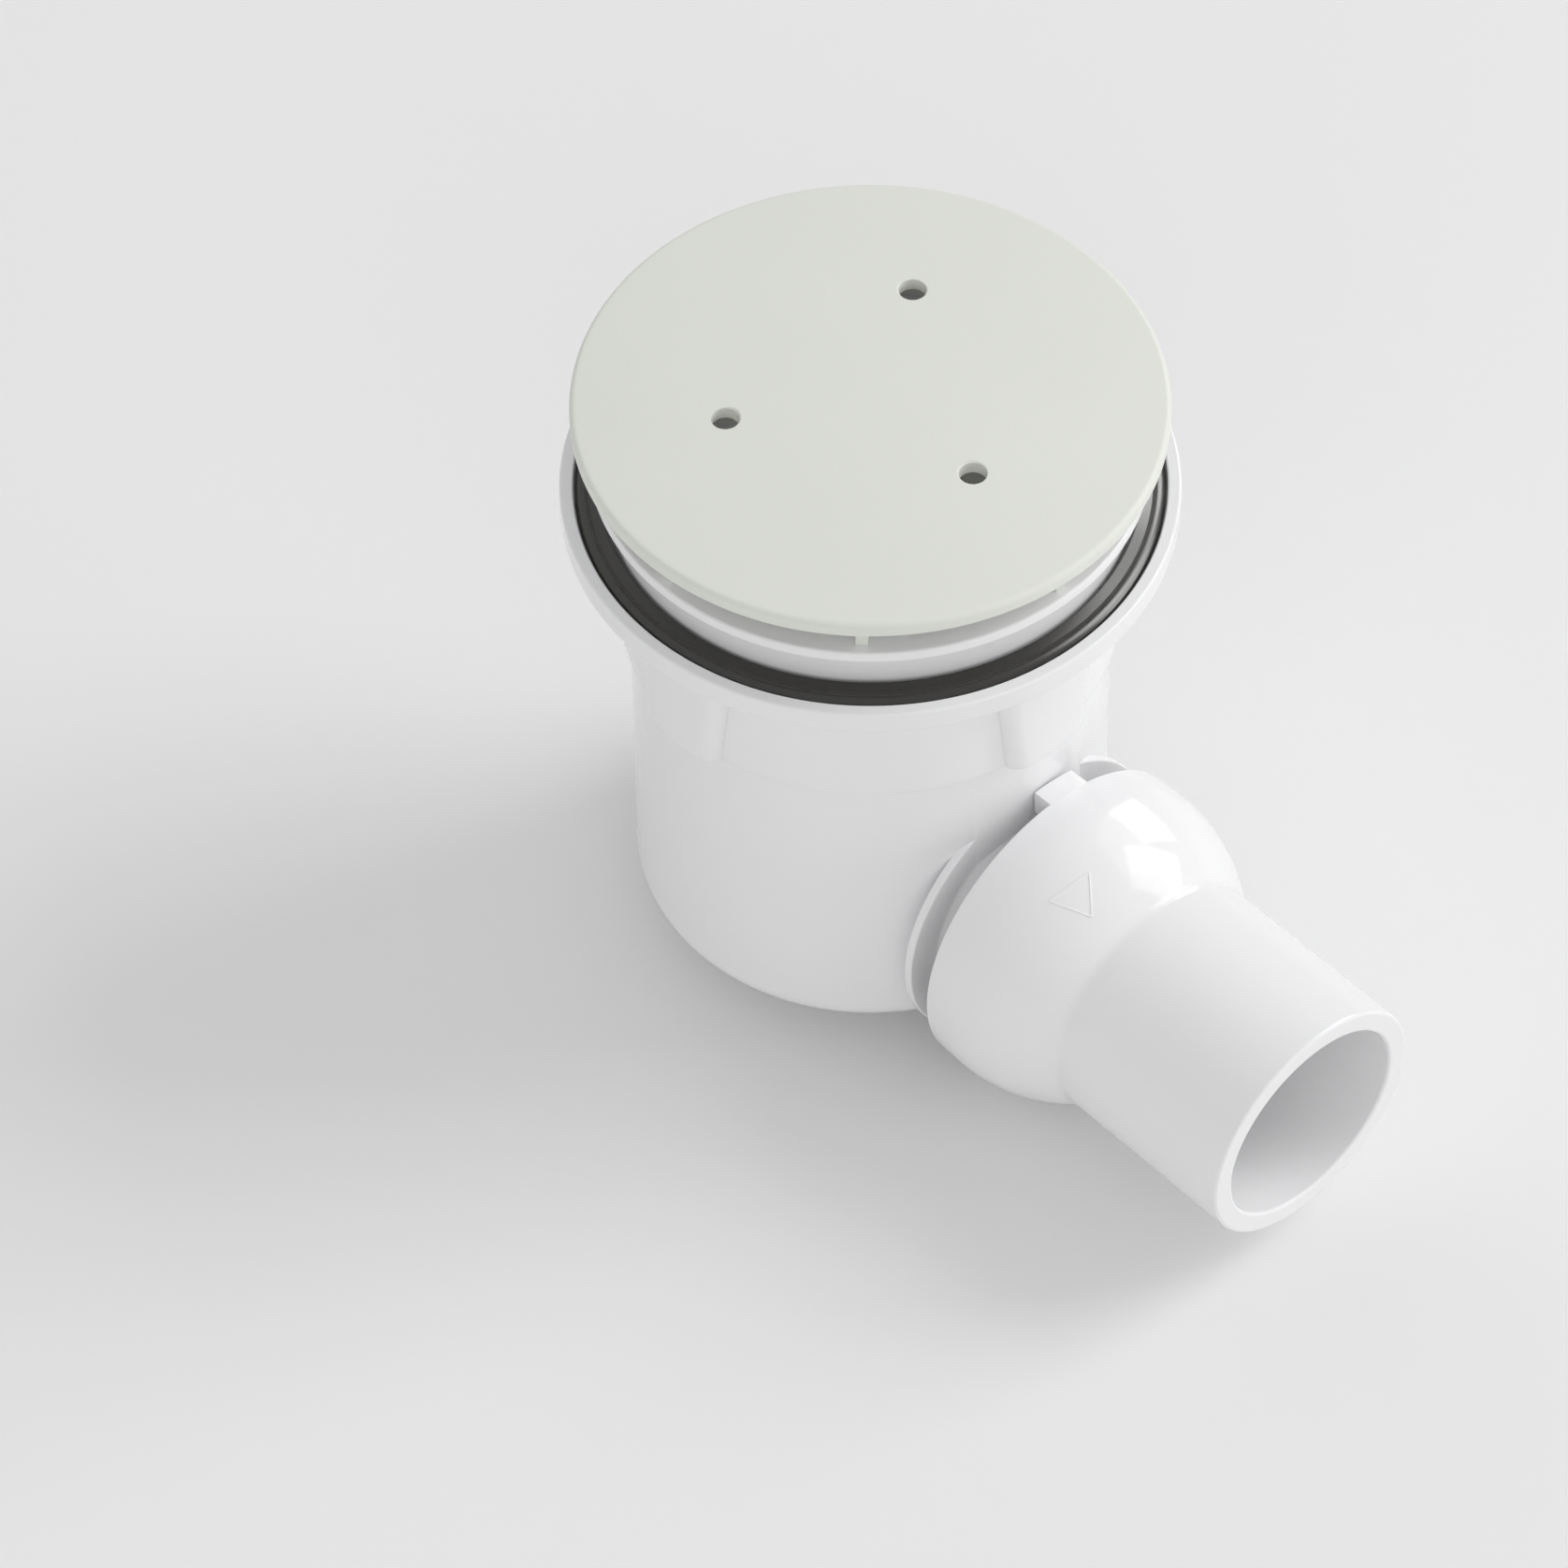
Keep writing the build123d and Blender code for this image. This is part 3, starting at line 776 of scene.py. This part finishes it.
@dataclass
class Outlet(Piece):
    """The outlet: ball hood with claws and tab, seal sleeve and pipe spigot."""

    outlet: OutletSizes
    ball_centre: float = 55.8
    ball_radius: float = 32.7
    neck_round: float = 3.0
    spigot_radius: float = 25.0
    spigot_bore: float = 20.6
    spigot_end: float = 119.0
    spigot_round: float = 0.6
    rim_radius: float = 32.46
    rim_round: float = 0.5
    sleeve_radius: float = 24.65
    sleeve_back: float = 27.05
    sleeve_start: float = 57.0
    sleeve_end: float = 66.4
    sleeve_lead: float = 1.0
    pocket_end: float = 64.0
    cone_end: float = 70.8
    tab_start: float = 45.5
    tab_first: float = -15.3
    tab_width: float = 16.9
    tab_depth: float = 5.9
    tab_lap: float = 0.7
    tab_sunk: float = 0.6
    tab_round: float = 0.3
    tab_hair: float = 0.01
    cone_round: float = 0.8
    lead_round: float = 0.3
    sleeve_round: float = 0.2
    pocket_round: float = 0.3
    bore_round: float = 0.4
    claw_play: float = 0.4
    claw_sunk: float = 1.5
    ball_points: int = 50
    neck_points: int = 9
    columns: int = 288

    def profile(self) -> Array:
        """Closed outline of (reach, radius): straight skirt, ball, neck, spigot and the inside.

        The neck's arc touches ball and spigot: its centre is the sum of ball and neck radius away from the
        ball's centre, and the neck radius outside the spigot.

        Returns:
            Points of the outline, one per row.
        """
        o = self.outlet
        reach = self.ball_radius + self.neck_round
        rise = self.spigot_radius + self.neck_round
        neck = math.sqrt(reach ** 2 - rise ** 2)
        neck_angle = math.degrees(math.atan2(rise, neck))
        ball = arc((self.ball_centre, 0), self.ball_radius, 90, neck_angle, self.ball_points)
        throat = arc(
            (self.ball_centre + neck, rise), self.neck_round, 180 + neck_angle, 270, self.neck_points)
        corners = [(o.hood_rim, self.rim_radius, self.rim_round)] + plain(np.vstack((ball, throat[1:])))
        r = self.spigot_round
        corners += [
            (self.spigot_end, self.spigot_radius, r), (self.spigot_end, self.spigot_bore, r),
            (self.cone_end, self.spigot_bore, self.cone_round),
            (self.sleeve_end, self.sleeve_radius, self.cone_round),
            (self.sleeve_start + self.sleeve_lead, self.sleeve_radius, self.lead_round),
            (self.sleeve_start, self.sleeve_radius + self.sleeve_lead, self.sleeve_round),
            (self.sleeve_start, self.sleeve_back, self.sleeve_round),
            (self.pocket_end, self.sleeve_back, self.pocket_round),
            (self.pocket_end, o.hood_bore, self.pocket_round), (o.hood_rim, o.hood_bore, self.bore_round)]
        return rounded_outline(corners)

    def build(self) -> bpy.types.Object:
        """Builds the outlet.

        Returns:
            The finished object.
        """
        o = self.outlet
        hood = ring_shell(turned_about_outlet(self.profile(), full_turn(self.columns), o.axis_height))
        inner, outer = o.stub_radius + self.claw_play, o.hood_bore + self.claw_sunk
        claws = [o.block(o.claw_start, o.claw_end, inner, outer, first, o.claw_width)
                 for first in o.claw_places()]
        return self.finished(hood, (Join.ADD, [*claws, self.tab()]))

    def tab(self) -> Shell:
        """Tab on the hood's rim, which carries the skirt's slope on towards the pot.

        Returns:
            The closed shell.
        """
        o, hair, soft = self.outlet, self.tab_hair, self.tab_round
        slope = (self.ball_radius - self.rim_radius) / (self.ball_centre - o.hood_rim)
        inner = self.rim_radius - self.tab_depth
        root = o.hood_rim + self.tab_lap
        back = root + self.tab_sunk
        outline = rounded_outline([
            (self.tab_start, inner, soft), (back, inner, 0), (back, self.rim_radius - self.tab_sunk, 0),
            (root, self.rim_radius + slope * (root - o.hood_rim) - hair, 0),
            (self.tab_start, self.rim_radius - slope * (o.hood_rim - self.tab_start) - hair, soft)])
        return outlet_sector(outline, self.tab_first, self.tab_width, o.axis_height)


@dataclass
class TurnSign(Piece):
    """Raised outline of a triangle on the ball hood, pointing the way that locks it."""

    hood: Outlet
    corners: tuple[tuple[float, float], ...] = ((63.79, 14.72), (65.41, 6.0), (71.14, 10.84))
    line_width: float = 0.42
    line_height: float = 0.16
    sunk: float = 0.1
    side_points: int = 60
    section_points: int = 14
    smoothing: int = 3

    def path(self) -> Array:
        """Directions from the ball's centre: chords between the corners, softened and drawn out to the ball.

        A corner is given in plan, by its reach and its way to the side, and lies on the ball above that.

        Returns:
            One direction of length one per row, once round.
        """
        plan = np.array(self.corners)
        x = plan[:, 0] - self.hood.ball_centre
        y = -plan[:, 1]
        z = np.sqrt(self.hood.ball_radius ** 2 - x ** 2 - y ** 2)
        corner = np.column_stack((x, y, z))
        share = (np.arange(self.side_points) / self.side_points)[None, :, None]
        sides = corner[:, None, :] * (1 - share) + np.roll(corner, -1, axis=0)[:, None, :] * share
        run = sides.reshape(-1, 3)
        for _ in range(self.smoothing):
            run = (np.roll(run, 1, axis=0) + 2 * run + np.roll(run, -1, axis=0)) / 4
        return run / np.linalg.norm(run, axis=1)[:, None]

    def build(self) -> bpy.types.Object:
        """Builds the line: a half-round section carried once round the triangle, sunk into the ball.

        Returns:
            The finished object.
        """
        out = self.path()
        ahead = np.roll(out, -1, axis=0) - np.roll(out, 1, axis=0)
        ahead /= np.linalg.norm(ahead, axis=1)[:, None]
        side = np.cross(ahead, out)
        turn = np.linspace(0, 2 * math.pi, self.section_points, endpoint=False)
        across = self.line_width / 2 * np.cos(turn)
        lift = np.where(np.sin(turn) > 0, self.line_height * np.sin(turn), self.sunk * np.sin(turn))
        centre = np.array([self.hood.ball_centre, 0.0, self.hood.outlet.axis_height])
        base = centre + out * self.hood.ball_radius
        width = side[:, None, :] * across[None, :, None]
        height = out[:, None, :] * lift[None, :, None]
        return self.finished(ring_shell(base[:, None, :] + width + height))


@dataclass
class ClampRing(Piece):
    """The clamp ring: lip, shoulder, neck, ledge for the insert and lugs for a ring key."""

    lip_radius: float = 52.1
    lip_round: float = 0.5
    top: float = 10.8
    lip_bottom: float = 8.4
    shoulder_radius: float = 49.3
    seat: float = -2.0
    neck_radius: float = 43.9
    neck_bore: float = 40.4
    neck_end: float = -18.0
    ledge_radius: float = 37.5
    ledge_top: float = -15.0
    mouth_radius: float = 45.5
    mouth_round: float = 1.2
    mouth_foot: float = 0.8
    lug_count: int = 4
    lug_first: float = 22.5
    lug_width: float = 6.0
    lug_height: float = 2.0
    lug_length: float = 3.5
    lug_sunk: float = 1.9
    lug_round: float = 0.4
    lip_edge: float = 0.35
    lip_fillet: float = 0.5
    seat_edge: float = 0.15
    neck_round: float = 0.4
    ledge_fillet: float = 0.2
    cone_round: float = 0.6
    columns: int = 300

    def profile(self) -> Array:
        """Closed outline of (radius, height)."""
        cone_foot = self.mouth_foot - (self.mouth_radius - self.neck_bore)
        return rounded_outline([
            (self.mouth_radius, self.top, self.mouth_round), (self.lip_radius, self.top, self.lip_round),
            (self.lip_radius, self.lip_bottom, self.lip_edge),
            (self.shoulder_radius, self.lip_bottom, self.lip_fillet),
            (self.shoulder_radius, self.seat, self.seat_edge), (self.neck_radius, self.seat, self.seat_edge),
            (self.neck_radius, self.neck_end, self.neck_round),
            (self.ledge_radius, self.neck_end, self.neck_round),
            (self.ledge_radius, self.ledge_top, self.neck_round),
            (self.neck_bore, self.ledge_top, self.ledge_fillet), (self.neck_bore, cone_foot, self.cone_round),
            (self.mouth_radius, self.mouth_foot, self.cone_round)])

    def lug(self) -> Shell:
        """One key lug on the mouth's wall.

        Returns:
            The closed shell.
        """
        root, tip = self.mouth_radius + self.lug_sunk, self.mouth_radius - self.lug_height
        half = self.lug_width / 2
        outline = rounded_outline([
            (tip, -half, self.lug_round), (root, -half, 0), (root, half, 0), (tip, half, self.lug_round)])
        centre = np.array([0, 0, self.mouth_foot + self.lug_length / 2])
        return prism(outline, self.lug_length, OUTLET_WAY, SIDE_WAY, centre)

    def build(self) -> bpy.types.Object:
        """Builds the clamp ring.

        Returns:
            The finished object.
        """
        ring = ring_shell(turned_about_pot(self.profile(), full_turn(self.columns)))
        lugs = self.lug().spread(self.lug_count, self.lug_first)
        return self.finished(ring, (Join.ADD, lugs))


@dataclass
class TrayGasket(Piece):
    """The tray gasket: flat below, with a land that falls a little outwards and a low bead at its rim."""

    inner: float = 50.0
    outer: float = 54.55
    foot: float = -2.0
    inner_height: float = 0.8
    land_slope: float = -0.34
    crest: float = 0.24
    crest_radius: float = 52.7
    fall_curve: float = 0.32
    step_start: float = 52.0
    step_width: float = 0.7
    edge_round: float = 0.25
    foot_round: float = 0.2
    top_points: int = 121
    edge_points: int = 8
    columns: int = 300

    def build(self) -> bpy.types.Object:
        """Builds the gasket; its top blends, over a smooth step, from a sloping line into a parabola.

        Returns:
            The finished object.
        """
        across = np.linspace(self.outer, self.inner, self.top_points)
        land = self.inner_height + self.land_slope * (across - self.inner)
        bead = self.crest - self.fall_curve * (across - self.crest_radius) ** 2
        step = np.clip((across - self.step_start) / self.step_width, 0, 1)
        top = land + (bead - land) * step ** 2 * (3 - 2 * step)
        kept = slice(self.edge_points, -self.edge_points)
        profile = rounded_outline([
            (self.outer, float(top[0]), self.edge_round), *plain(np.column_stack((across, top))[kept]),
            (self.inner, float(top[-1]), self.edge_round), (self.inner, self.foot, self.foot_round),
            (self.outer, self.foot, self.foot_round)])
        return self.finished(ring_shell(turned_about_pot(profile, full_turn(self.columns))))


@dataclass
class CoverPlate(Piece):
    """The cover: crowned plate with round holes, standing on feet on the clamp ring."""

    radius: float = 55.0
    under: float = 18.7
    rim_top: float = 21.6
    crown: float = 2.5
    edge_round: float = 1.1
    under_round: float = 0.3
    hole_count: int = 3
    hole_radius: float = 2.6
    hole_circle: float = 27.1
    hole_round: float = 0.3
    foot_count: int = 8
    foot_width: float = 2.3
    foot_radius: float = 50.2
    foot_bottom: float = 10.8
    leg_outer: float = 45.0
    leg_inner: float = 42.6
    leg_bottom: float = 4.8
    leg_round: float = 0.6
    foot_fillet: float = 0.2
    foot_edge: float = 0.25
    face_end: float = 51.0
    rim_rows: tuple[float, ...] = (52.5, 53.4)
    hole_overrun: float = 2.0
    face_points: int = 28
    rim_steps: int = 8
    columns: int = 360
    hole_columns: int = 72

    def crowned(self, rim: float, radii: Array) -> Array:
        """Points of a crowned face: the rim's height plus the crown times 1 - (r / rim radius)²."""
        return np.column_stack((radii, rim + self.crown * (1 - (radii / self.radius) ** 2)))

    def plate(self) -> Shell:
        """The plate before its holes are cut.

        Returns:
            The closed shell.
        """
        radii = np.concatenate((np.linspace(0, self.face_end, self.face_points), self.rim_rows))
        under = self.crowned(self.under, radii)
        top = self.crowned(self.rim_top, radii)[::-1]
        rim = [(self.radius, self.under, self.under_round), (self.radius, self.rim_top, self.edge_round)]
        profile = rounded_outline(plain(under) + rim + plain(top), steps=self.rim_steps)
        return capped_shell(turned_about_pot(profile, full_turn(self.columns)))

    def foot(self) -> Shell:
        """One foot with its leg inside the ring's mouth."""
        outline = rounded_outline([
            (self.leg_inner, self.leg_bottom, self.leg_round),
            (self.leg_outer, self.leg_bottom, self.leg_round),
            (self.leg_outer, self.foot_bottom, self.foot_fillet),
            (self.foot_radius, self.foot_bottom, self.foot_edge),
            (self.foot_radius, self.rim_top, 0), (self.leg_inner, self.rim_top, 0)])
        return prism(outline, self.foot_width, OUTLET_WAY, UP_WAY, ORIGIN)

    def hole(self) -> Shell:
        """Cutter for one hole, flared by a quarter circle where it leaves the top and the underside.

        Returns:
            The closed shell.
        """
        share = 1 - (self.hole_circle / self.radius) ** 2
        top = self.rim_top + self.crown * share
        low = self.under + self.crown * share
        r, wide, past = self.hole_round, self.hole_radius + self.hole_round, self.hole_overrun
        profile = np.vstack((
            [(0, low - past), (wide, low - past)],
            arc((wide, low + r), r, 270, 180, ARC_STEPS), arc((wide, top - r), r, 180, 90, ARC_STEPS),
            [(wide, top + past), (0, top + past)]))
        shell = capped_shell(turned_about_pot(profile, full_turn(self.hole_columns)))
        shell.points = shell.points + self.hole_circle * OUTLET_WAY
        return shell

    def build(self) -> bpy.types.Object:
        """Builds the cover.

        Returns:
            The finished object.
        """
        feet = self.foot().spread(self.foot_count)
        holes = self.hole().spread(self.hole_count)
        return self.finished(self.plate(), (Join.ADD, feet), (Join.CUT, holes))


@dataclass
class DipTube(Piece):
    """The dip tube: funnel, tube, legs and pull bar of the lift-out siphon."""

    funnel_radius: float = 40.1
    funnel_top: float = -8.0
    ledge_top: float = -15.0
    groove_radius: float = 38.3
    groove_low: float = -13.2
    groove_high: float = -9.8
    mouth_radius: float = 36.3
    under_radius: float = 37.2
    slope_rise: float = 2.458
    tube_top: float = -28.0
    tube_end: float = -86.0
    tube_radius: float = 19.0
    tube_bore: float = 17.0
    leg_count: int = 4
    leg_reach: float = 29.9
    leg_foot: float = -93.0
    leg_top: float = -62.0
    leg_thickness: float = 1.8
    bar_width: float = 3.0
    bar_height: float = 6.0
    edge_round: float = 0.3
    tube_fillet: float = 2.0
    ledge_round: float = 0.6
    groove_round: float = 0.1
    rim_round: float = 0.5
    funnel_fillet: float = 2.0
    throat_round: float = 4.0
    leg_round: float = 1.0
    leg_shoulder: float = 6.0
    sunk: float = 1.0
    bar_hair: float = 0.02
    columns: int = 200

    def profile(self) -> Array:
        """Closed outline of (radius, height)."""
        edge, groove, rim = self.edge_round, self.groove_round, self.rim_round
        return rounded_outline([
            (self.tube_radius, self.tube_end, edge), (self.tube_radius, self.tube_top, self.tube_fillet),
            (self.under_radius, self.ledge_top, self.ledge_round), (self.funnel_radius, self.ledge_top, edge),
            (self.funnel_radius, self.groove_low, groove), (self.groove_radius, self.groove_low, groove),
            (self.groove_radius, self.groove_high, groove), (self.funnel_radius, self.groove_high, groove),
            (self.funnel_radius, self.funnel_top, rim), (self.mouth_radius, self.funnel_top, rim),
            (self.mouth_radius, self.ledge_top + self.slope_rise, self.funnel_fillet),
            (self.tube_bore, self.tube_top + self.slope_rise, self.throat_round),
            (self.tube_bore, self.tube_end, edge)])

    def build(self) -> bpy.types.Object:
        """Builds the dip tube.

        Returns:
            The finished object.
        """
        tube = ring_shell(turned_about_pot(self.profile(), full_turn(self.columns)))
        root, half = self.tube_bore + self.sunk, self.mouth_radius + self.sunk
        leg_outline = rounded_outline([
            (root, self.leg_foot, 0), (self.leg_reach, self.leg_foot, self.leg_round),
            (self.leg_reach, self.leg_top, self.leg_shoulder), (root, self.leg_top, 0)])
        leg = prism(leg_outline, self.leg_thickness, OUTLET_WAY, UP_WAY, ORIGIN)
        legs = leg.spread(self.leg_count, 180 / self.leg_count)
        low, high = self.funnel_top - self.bar_height, self.funnel_top - self.bar_hair
        bar_outline = rounded_outline([(-half, low, 0), (half, low, 0), (half, high, 0), (-half, high, 0)])
        bar = prism(bar_outline, self.bar_width, SIDE_WAY, UP_WAY, ORIGIN)
        return self.finished(tube, (Join.ADD, [*legs, bar]))


@dataclass
class SiphonCup(Piece):
    """The siphon cup: open cup on the dip tube's legs."""

    radius: float = 32.0
    wall: float = 2.0
    bottom: float = -95.0
    inside: float = -93.0
    rim: float = -36.0
    edge_round: float = 3.0
    rim_round: float = 0.8
    inside_round: float = 0.6
    columns: int = 160

    def build(self) -> bpy.types.Object:
        """Builds the cup: an outline from axis to axis, turned once round.

        Returns:
            The finished object.
        """
        inner = self.radius - self.wall
        profile = rounded_outline([
            (0, self.bottom, 0), (self.radius, self.bottom, self.edge_round),
            (self.radius, self.rim, self.rim_round), (inner, self.rim, self.rim_round),
            (inner, self.inside, self.inside_round), (0, self.inside, 0)])
        return self.finished(capped_shell(turned_about_pot(profile, full_turn(self.columns))))


@dataclass
class RingSeal(Piece):
    """A ring seal, its section a rectangle rounded by a part of its shorter side."""

    low: float
    high: float
    inner: float
    outer: float
    axis_height: float | None = None
    round_parts: int = 3
    round_steps: int = 8
    support: float = 0.05
    columns: int = 160

    def build(self) -> bpy.types.Object:
        """Builds the seal round the pot's axis, or round the outlet where a height is given.

        Returns:
            The finished object.
        """
        low, high, inner, outer = self.low, self.high, self.inner, self.outer
        soft = min(high - low, outer - inner) / self.round_parts
        turns = full_turn(self.columns)
        if self.axis_height is None:
            corners = [(inner, low, soft), (outer, low, soft), (outer, high, soft), (inner, high, soft)]
            outline = rounded_outline(corners, self.round_steps, self.support)
            grid = turned_about_pot(outline, turns)
        else:
            corners = [(low, inner, soft), (high, inner, soft), (high, outer, soft), (low, outer, soft)]
            outline = rounded_outline(corners, self.round_steps, self.support)
            grid = turned_about_outlet(outline, turns, self.axis_height)
        return self.finished(ring_shell(grid))


# Studio


@dataclass
class PhotoCamera:
    """Camera fitted to the photograph; angles in degrees, seen from the viewer's side.

    Attributes:
        distance: From the frame's origin, in metres.
        elevation: Height angle of the camera's place.
        pitch: Angle of the view below level.
        yaw: Turn of the view to the viewer's right.
        roll: Turn of the picture.
        bearing: Angle by which the outlet points to the viewer's right of straight towards the viewer.
        lens: Focal length in millimetres.
        sensor: Width of the picture behind the lens in millimetres.
    """

    distance: float = 1.60705
    elevation: float = 47.83
    pitch: float = 49.83
    yaw: float = -0.88
    roll: float = 0.68
    bearing: float = 43.29
    lens: float = 199.98
    sensor: float = 36.0

    def to_frame(self, vector: Array) -> Array:
        """Turns the viewer's directions into those of the object's frame.

        Args:
            vector: Vector of (right, away, up) for the viewer.

        Returns:
            The vector along the frame's axes.
        """
        b = math.radians(self.bearing)
        outlet = np.array([math.sin(b), -math.cos(b), 0])
        side = np.array([math.cos(b), math.sin(b), 0])
        return np.array([vector @ outlet, vector @ side, vector[2]])

    def build(self) -> bpy.types.Object:
        """Builds the camera and makes it the scene's own.

        Returns:
            The camera.
        """
        e, p, y, r = (math.radians(a) for a in (self.elevation, self.pitch, self.yaw, self.roll))
        place = self.distance * np.array([0, -math.cos(e), math.sin(e)])
        ahead = np.array([math.sin(y) * math.cos(p), math.cos(y) * math.cos(p), -math.sin(p)])
        level = np.array([math.cos(y), -math.sin(y), 0])
        down = np.cross(ahead, level)
        right = math.cos(r) * level + math.sin(r) * down
        low = -math.sin(r) * level + math.cos(r) * down
        columns = np.column_stack([self.to_frame(v) for v in (right, -low, -ahead)])
        data = bpy.data.cameras.new("photo_camera")
        data.sensor_fit = "HORIZONTAL"
        data.sensor_width = self.sensor
        data.lens = self.lens
        camera = bpy.data.objects.new("photo_camera", data)
        camera.matrix_world = Matrix.Translation(self.to_frame(place)) @ Matrix(columns.tolist()).to_4x4()
        bpy.context.scene.collection.objects.link(camera)
        bpy.context.scene.camera = camera
        return camera


class LampRole(Enum):
    """What a lamp does: lights and shows in gloss, only lights, or only shows in gloss."""

    FULL = "full"
    FILL = "fill"
    SHEEN = "sheen"


@dataclass(frozen=True)
class Lamp:
    """Soft rectangular lamp that looks at the trap.

    Attributes:
        name: Name of the lamp.
        bearing: Angle from the viewer's right, turning away from the viewer, in degrees.
        elevation: Height angle in degrees.
        width: Width of its face in metres.
        height: Height of its face in metres.
        power: Power in watts.
        role: What it does.
        distance: From the frame's origin, in metres.
    """

    name: str
    bearing: float
    elevation: float
    width: float
    height: float
    power: float
    role: LampRole = LampRole.FULL
    distance: float = 4.0

    def direction(self) -> Array:
        """Direction of (right, away, up) in which the lamp hangs."""
        b, e = math.radians(self.bearing), math.radians(self.elevation)
        return np.array([math.cos(e) * math.cos(b), math.cos(e) * math.sin(b), math.sin(e)])


LAMPS = (
    Lamp("window", bearing=15, elevation=37, width=2.1, height=2.6, power=62),
    Lamp("low_right", bearing=0, elevation=14, width=3.0, height=1.6, power=11),
    Lamp("front_fill", bearing=270, elevation=35, width=3.6, height=2.4, power=21, role=LampRole.FILL),
    Lamp("back_fill", bearing=90, elevation=35, width=3.6, height=2.4, power=5, role=LampRole.FILL),
    Lamp("high_sheen", bearing=40, elevation=50, width=3.0, height=2.2, power=30, role=LampRole.SHEEN),
    Lamp("low_sheen", bearing=52, elevation=27, width=1.8, height=1.8, power=51, role=LampRole.SHEEN),
)


@dataclass
class Studio:
    """Pale floor and soft light round the trap."""

    camera: PhotoCamera
    lamps: tuple[Lamp, ...] = LAMPS
    floor_height: float = -0.1146
    floor_half: float = 4.5
    floor_points: int = 9
    floor_colour: tuple[int, int, int] = (246, 246, 246)
    floor_roughness: float = 0.9
    floor_specular: float = 0.1
    sky: float = 0.55

    def floor(self) -> bpy.types.Object:
        """Builds the floor: a level grid with a plain finish.

        Returns:
            The floor.
        """
        edge = np.linspace(-self.floor_half, self.floor_half, self.floor_points)
        x, y = np.meshgrid(edge, edge, indexing="xy")
        points = np.stack((x, y, np.full_like(x, self.floor_height)), -1).reshape(-1, 3)
        mesh = bpy.data.meshes.new("floor")
        faces = grid_faces(self.floor_points, self.floor_points, False, False)
        mesh.from_pydata(points.tolist(), [], faces)
        material = bpy.data.materials.new("floor_paper")
        material.use_nodes = True
        shader = material.node_tree.nodes["Principled BSDF"]
        shader.inputs["Base Color"].default_value = linear(self.floor_colour)
        shader.inputs["Roughness"].default_value = self.floor_roughness
        shader.inputs["Specular IOR Level"].default_value = self.floor_specular
        mesh.materials.append(material)
        floor = bpy.data.objects.new("floor", mesh)
        bpy.context.scene.collection.objects.link(floor)
        return floor

    def lamp(self, lamp: Lamp) -> None:
        """Hangs a lamp and turns its face to the trap.

        Args:
            lamp: The lamp to hang.
        """
        data = bpy.data.lights.new(lamp.name, "AREA")
        data.shape = "RECTANGLE"
        data.size = lamp.width
        data.size_y = lamp.height
        data.energy = lamp.power
        back = self.camera.to_frame(lamp.direction())
        right = np.cross(UP_WAY, back)
        right /= np.linalg.norm(right)
        columns = np.column_stack((right, np.cross(back, right), back))
        obj = bpy.data.objects.new(lamp.name, data)
        obj.visible_glossy = lamp.role is not LampRole.FILL
        obj.visible_diffuse = lamp.role is not LampRole.SHEEN
        obj.matrix_world = Matrix.Translation(back * lamp.distance) @ Matrix(columns.tolist()).to_4x4()
        bpy.context.scene.collection.objects.link(obj)

    def build(self) -> None:
        """Builds floor, sky light and lamps."""
        self.floor()
        world = bpy.data.worlds.new("studio_sky")
        world.use_nodes = True
        sky = world.node_tree.nodes["Background"]
        sky.inputs["Color"].default_value = (1.0, 1.0, 1.0, 1.0)
        sky.inputs["Strength"].default_value = self.sky
        bpy.context.scene.world = world
        for lamp in self.lamps:
            self.lamp(lamp)
        bpy.context.scene.view_settings.view_transform = "Standard"


def main() -> None:
    """Builds the pieces, then the camera and the studio."""
    logging.basicConfig(level=logging.INFO, format="%(name)s: %(message)s")
    shared = OutletSizes()
    hood = Outlet("outlet_hood", "outlet_spigot", Body.OUTLET, WHITE_PLASTIC, shared)
    pieces: list[Piece] = [
        Pot("pot", "trap_body", Body.TRAP, WHITE_PLASTIC, shared),
        hood,
        TurnSign("turn_sign", "", Body.OUTLET, WHITE_PLASTIC, hood),
        ClampRing("ring", "clamp_ring", Body.TRAP, WHITE_PLASTIC),
        TrayGasket("gasket", "tray_gasket", Body.TRAP, GASKET_RUBBER),
        CoverPlate("cover", "cover_plate", Body.TRAP, COVER_PLASTIC),
        DipTube("siphon_tube", "dip_tube", Body.TRAP, INSERT_PLASTIC),
        SiphonCup("cup", "siphon_cup", Body.TRAP, INSERT_PLASTIC),
        RingSeal("siphon_seal", "dip_tube_seal", Body.TRAP, SEAL_RUBBER,
                 low=-13.1, high=-9.9, inner=38.4, outer=40.15),
        RingSeal("stub_seal", "outlet_seal", Body.TRAP, SEAL_RUBBER,
                 low=60.2, high=63.4, inner=21.7, outer=24.4, axis_height=shared.axis_height),
    ]
    for piece in pieces:
        piece.build()
    camera = PhotoCamera()
    camera.build()
    Studio(camera).build()


if __name__ == "__main__":
    main()
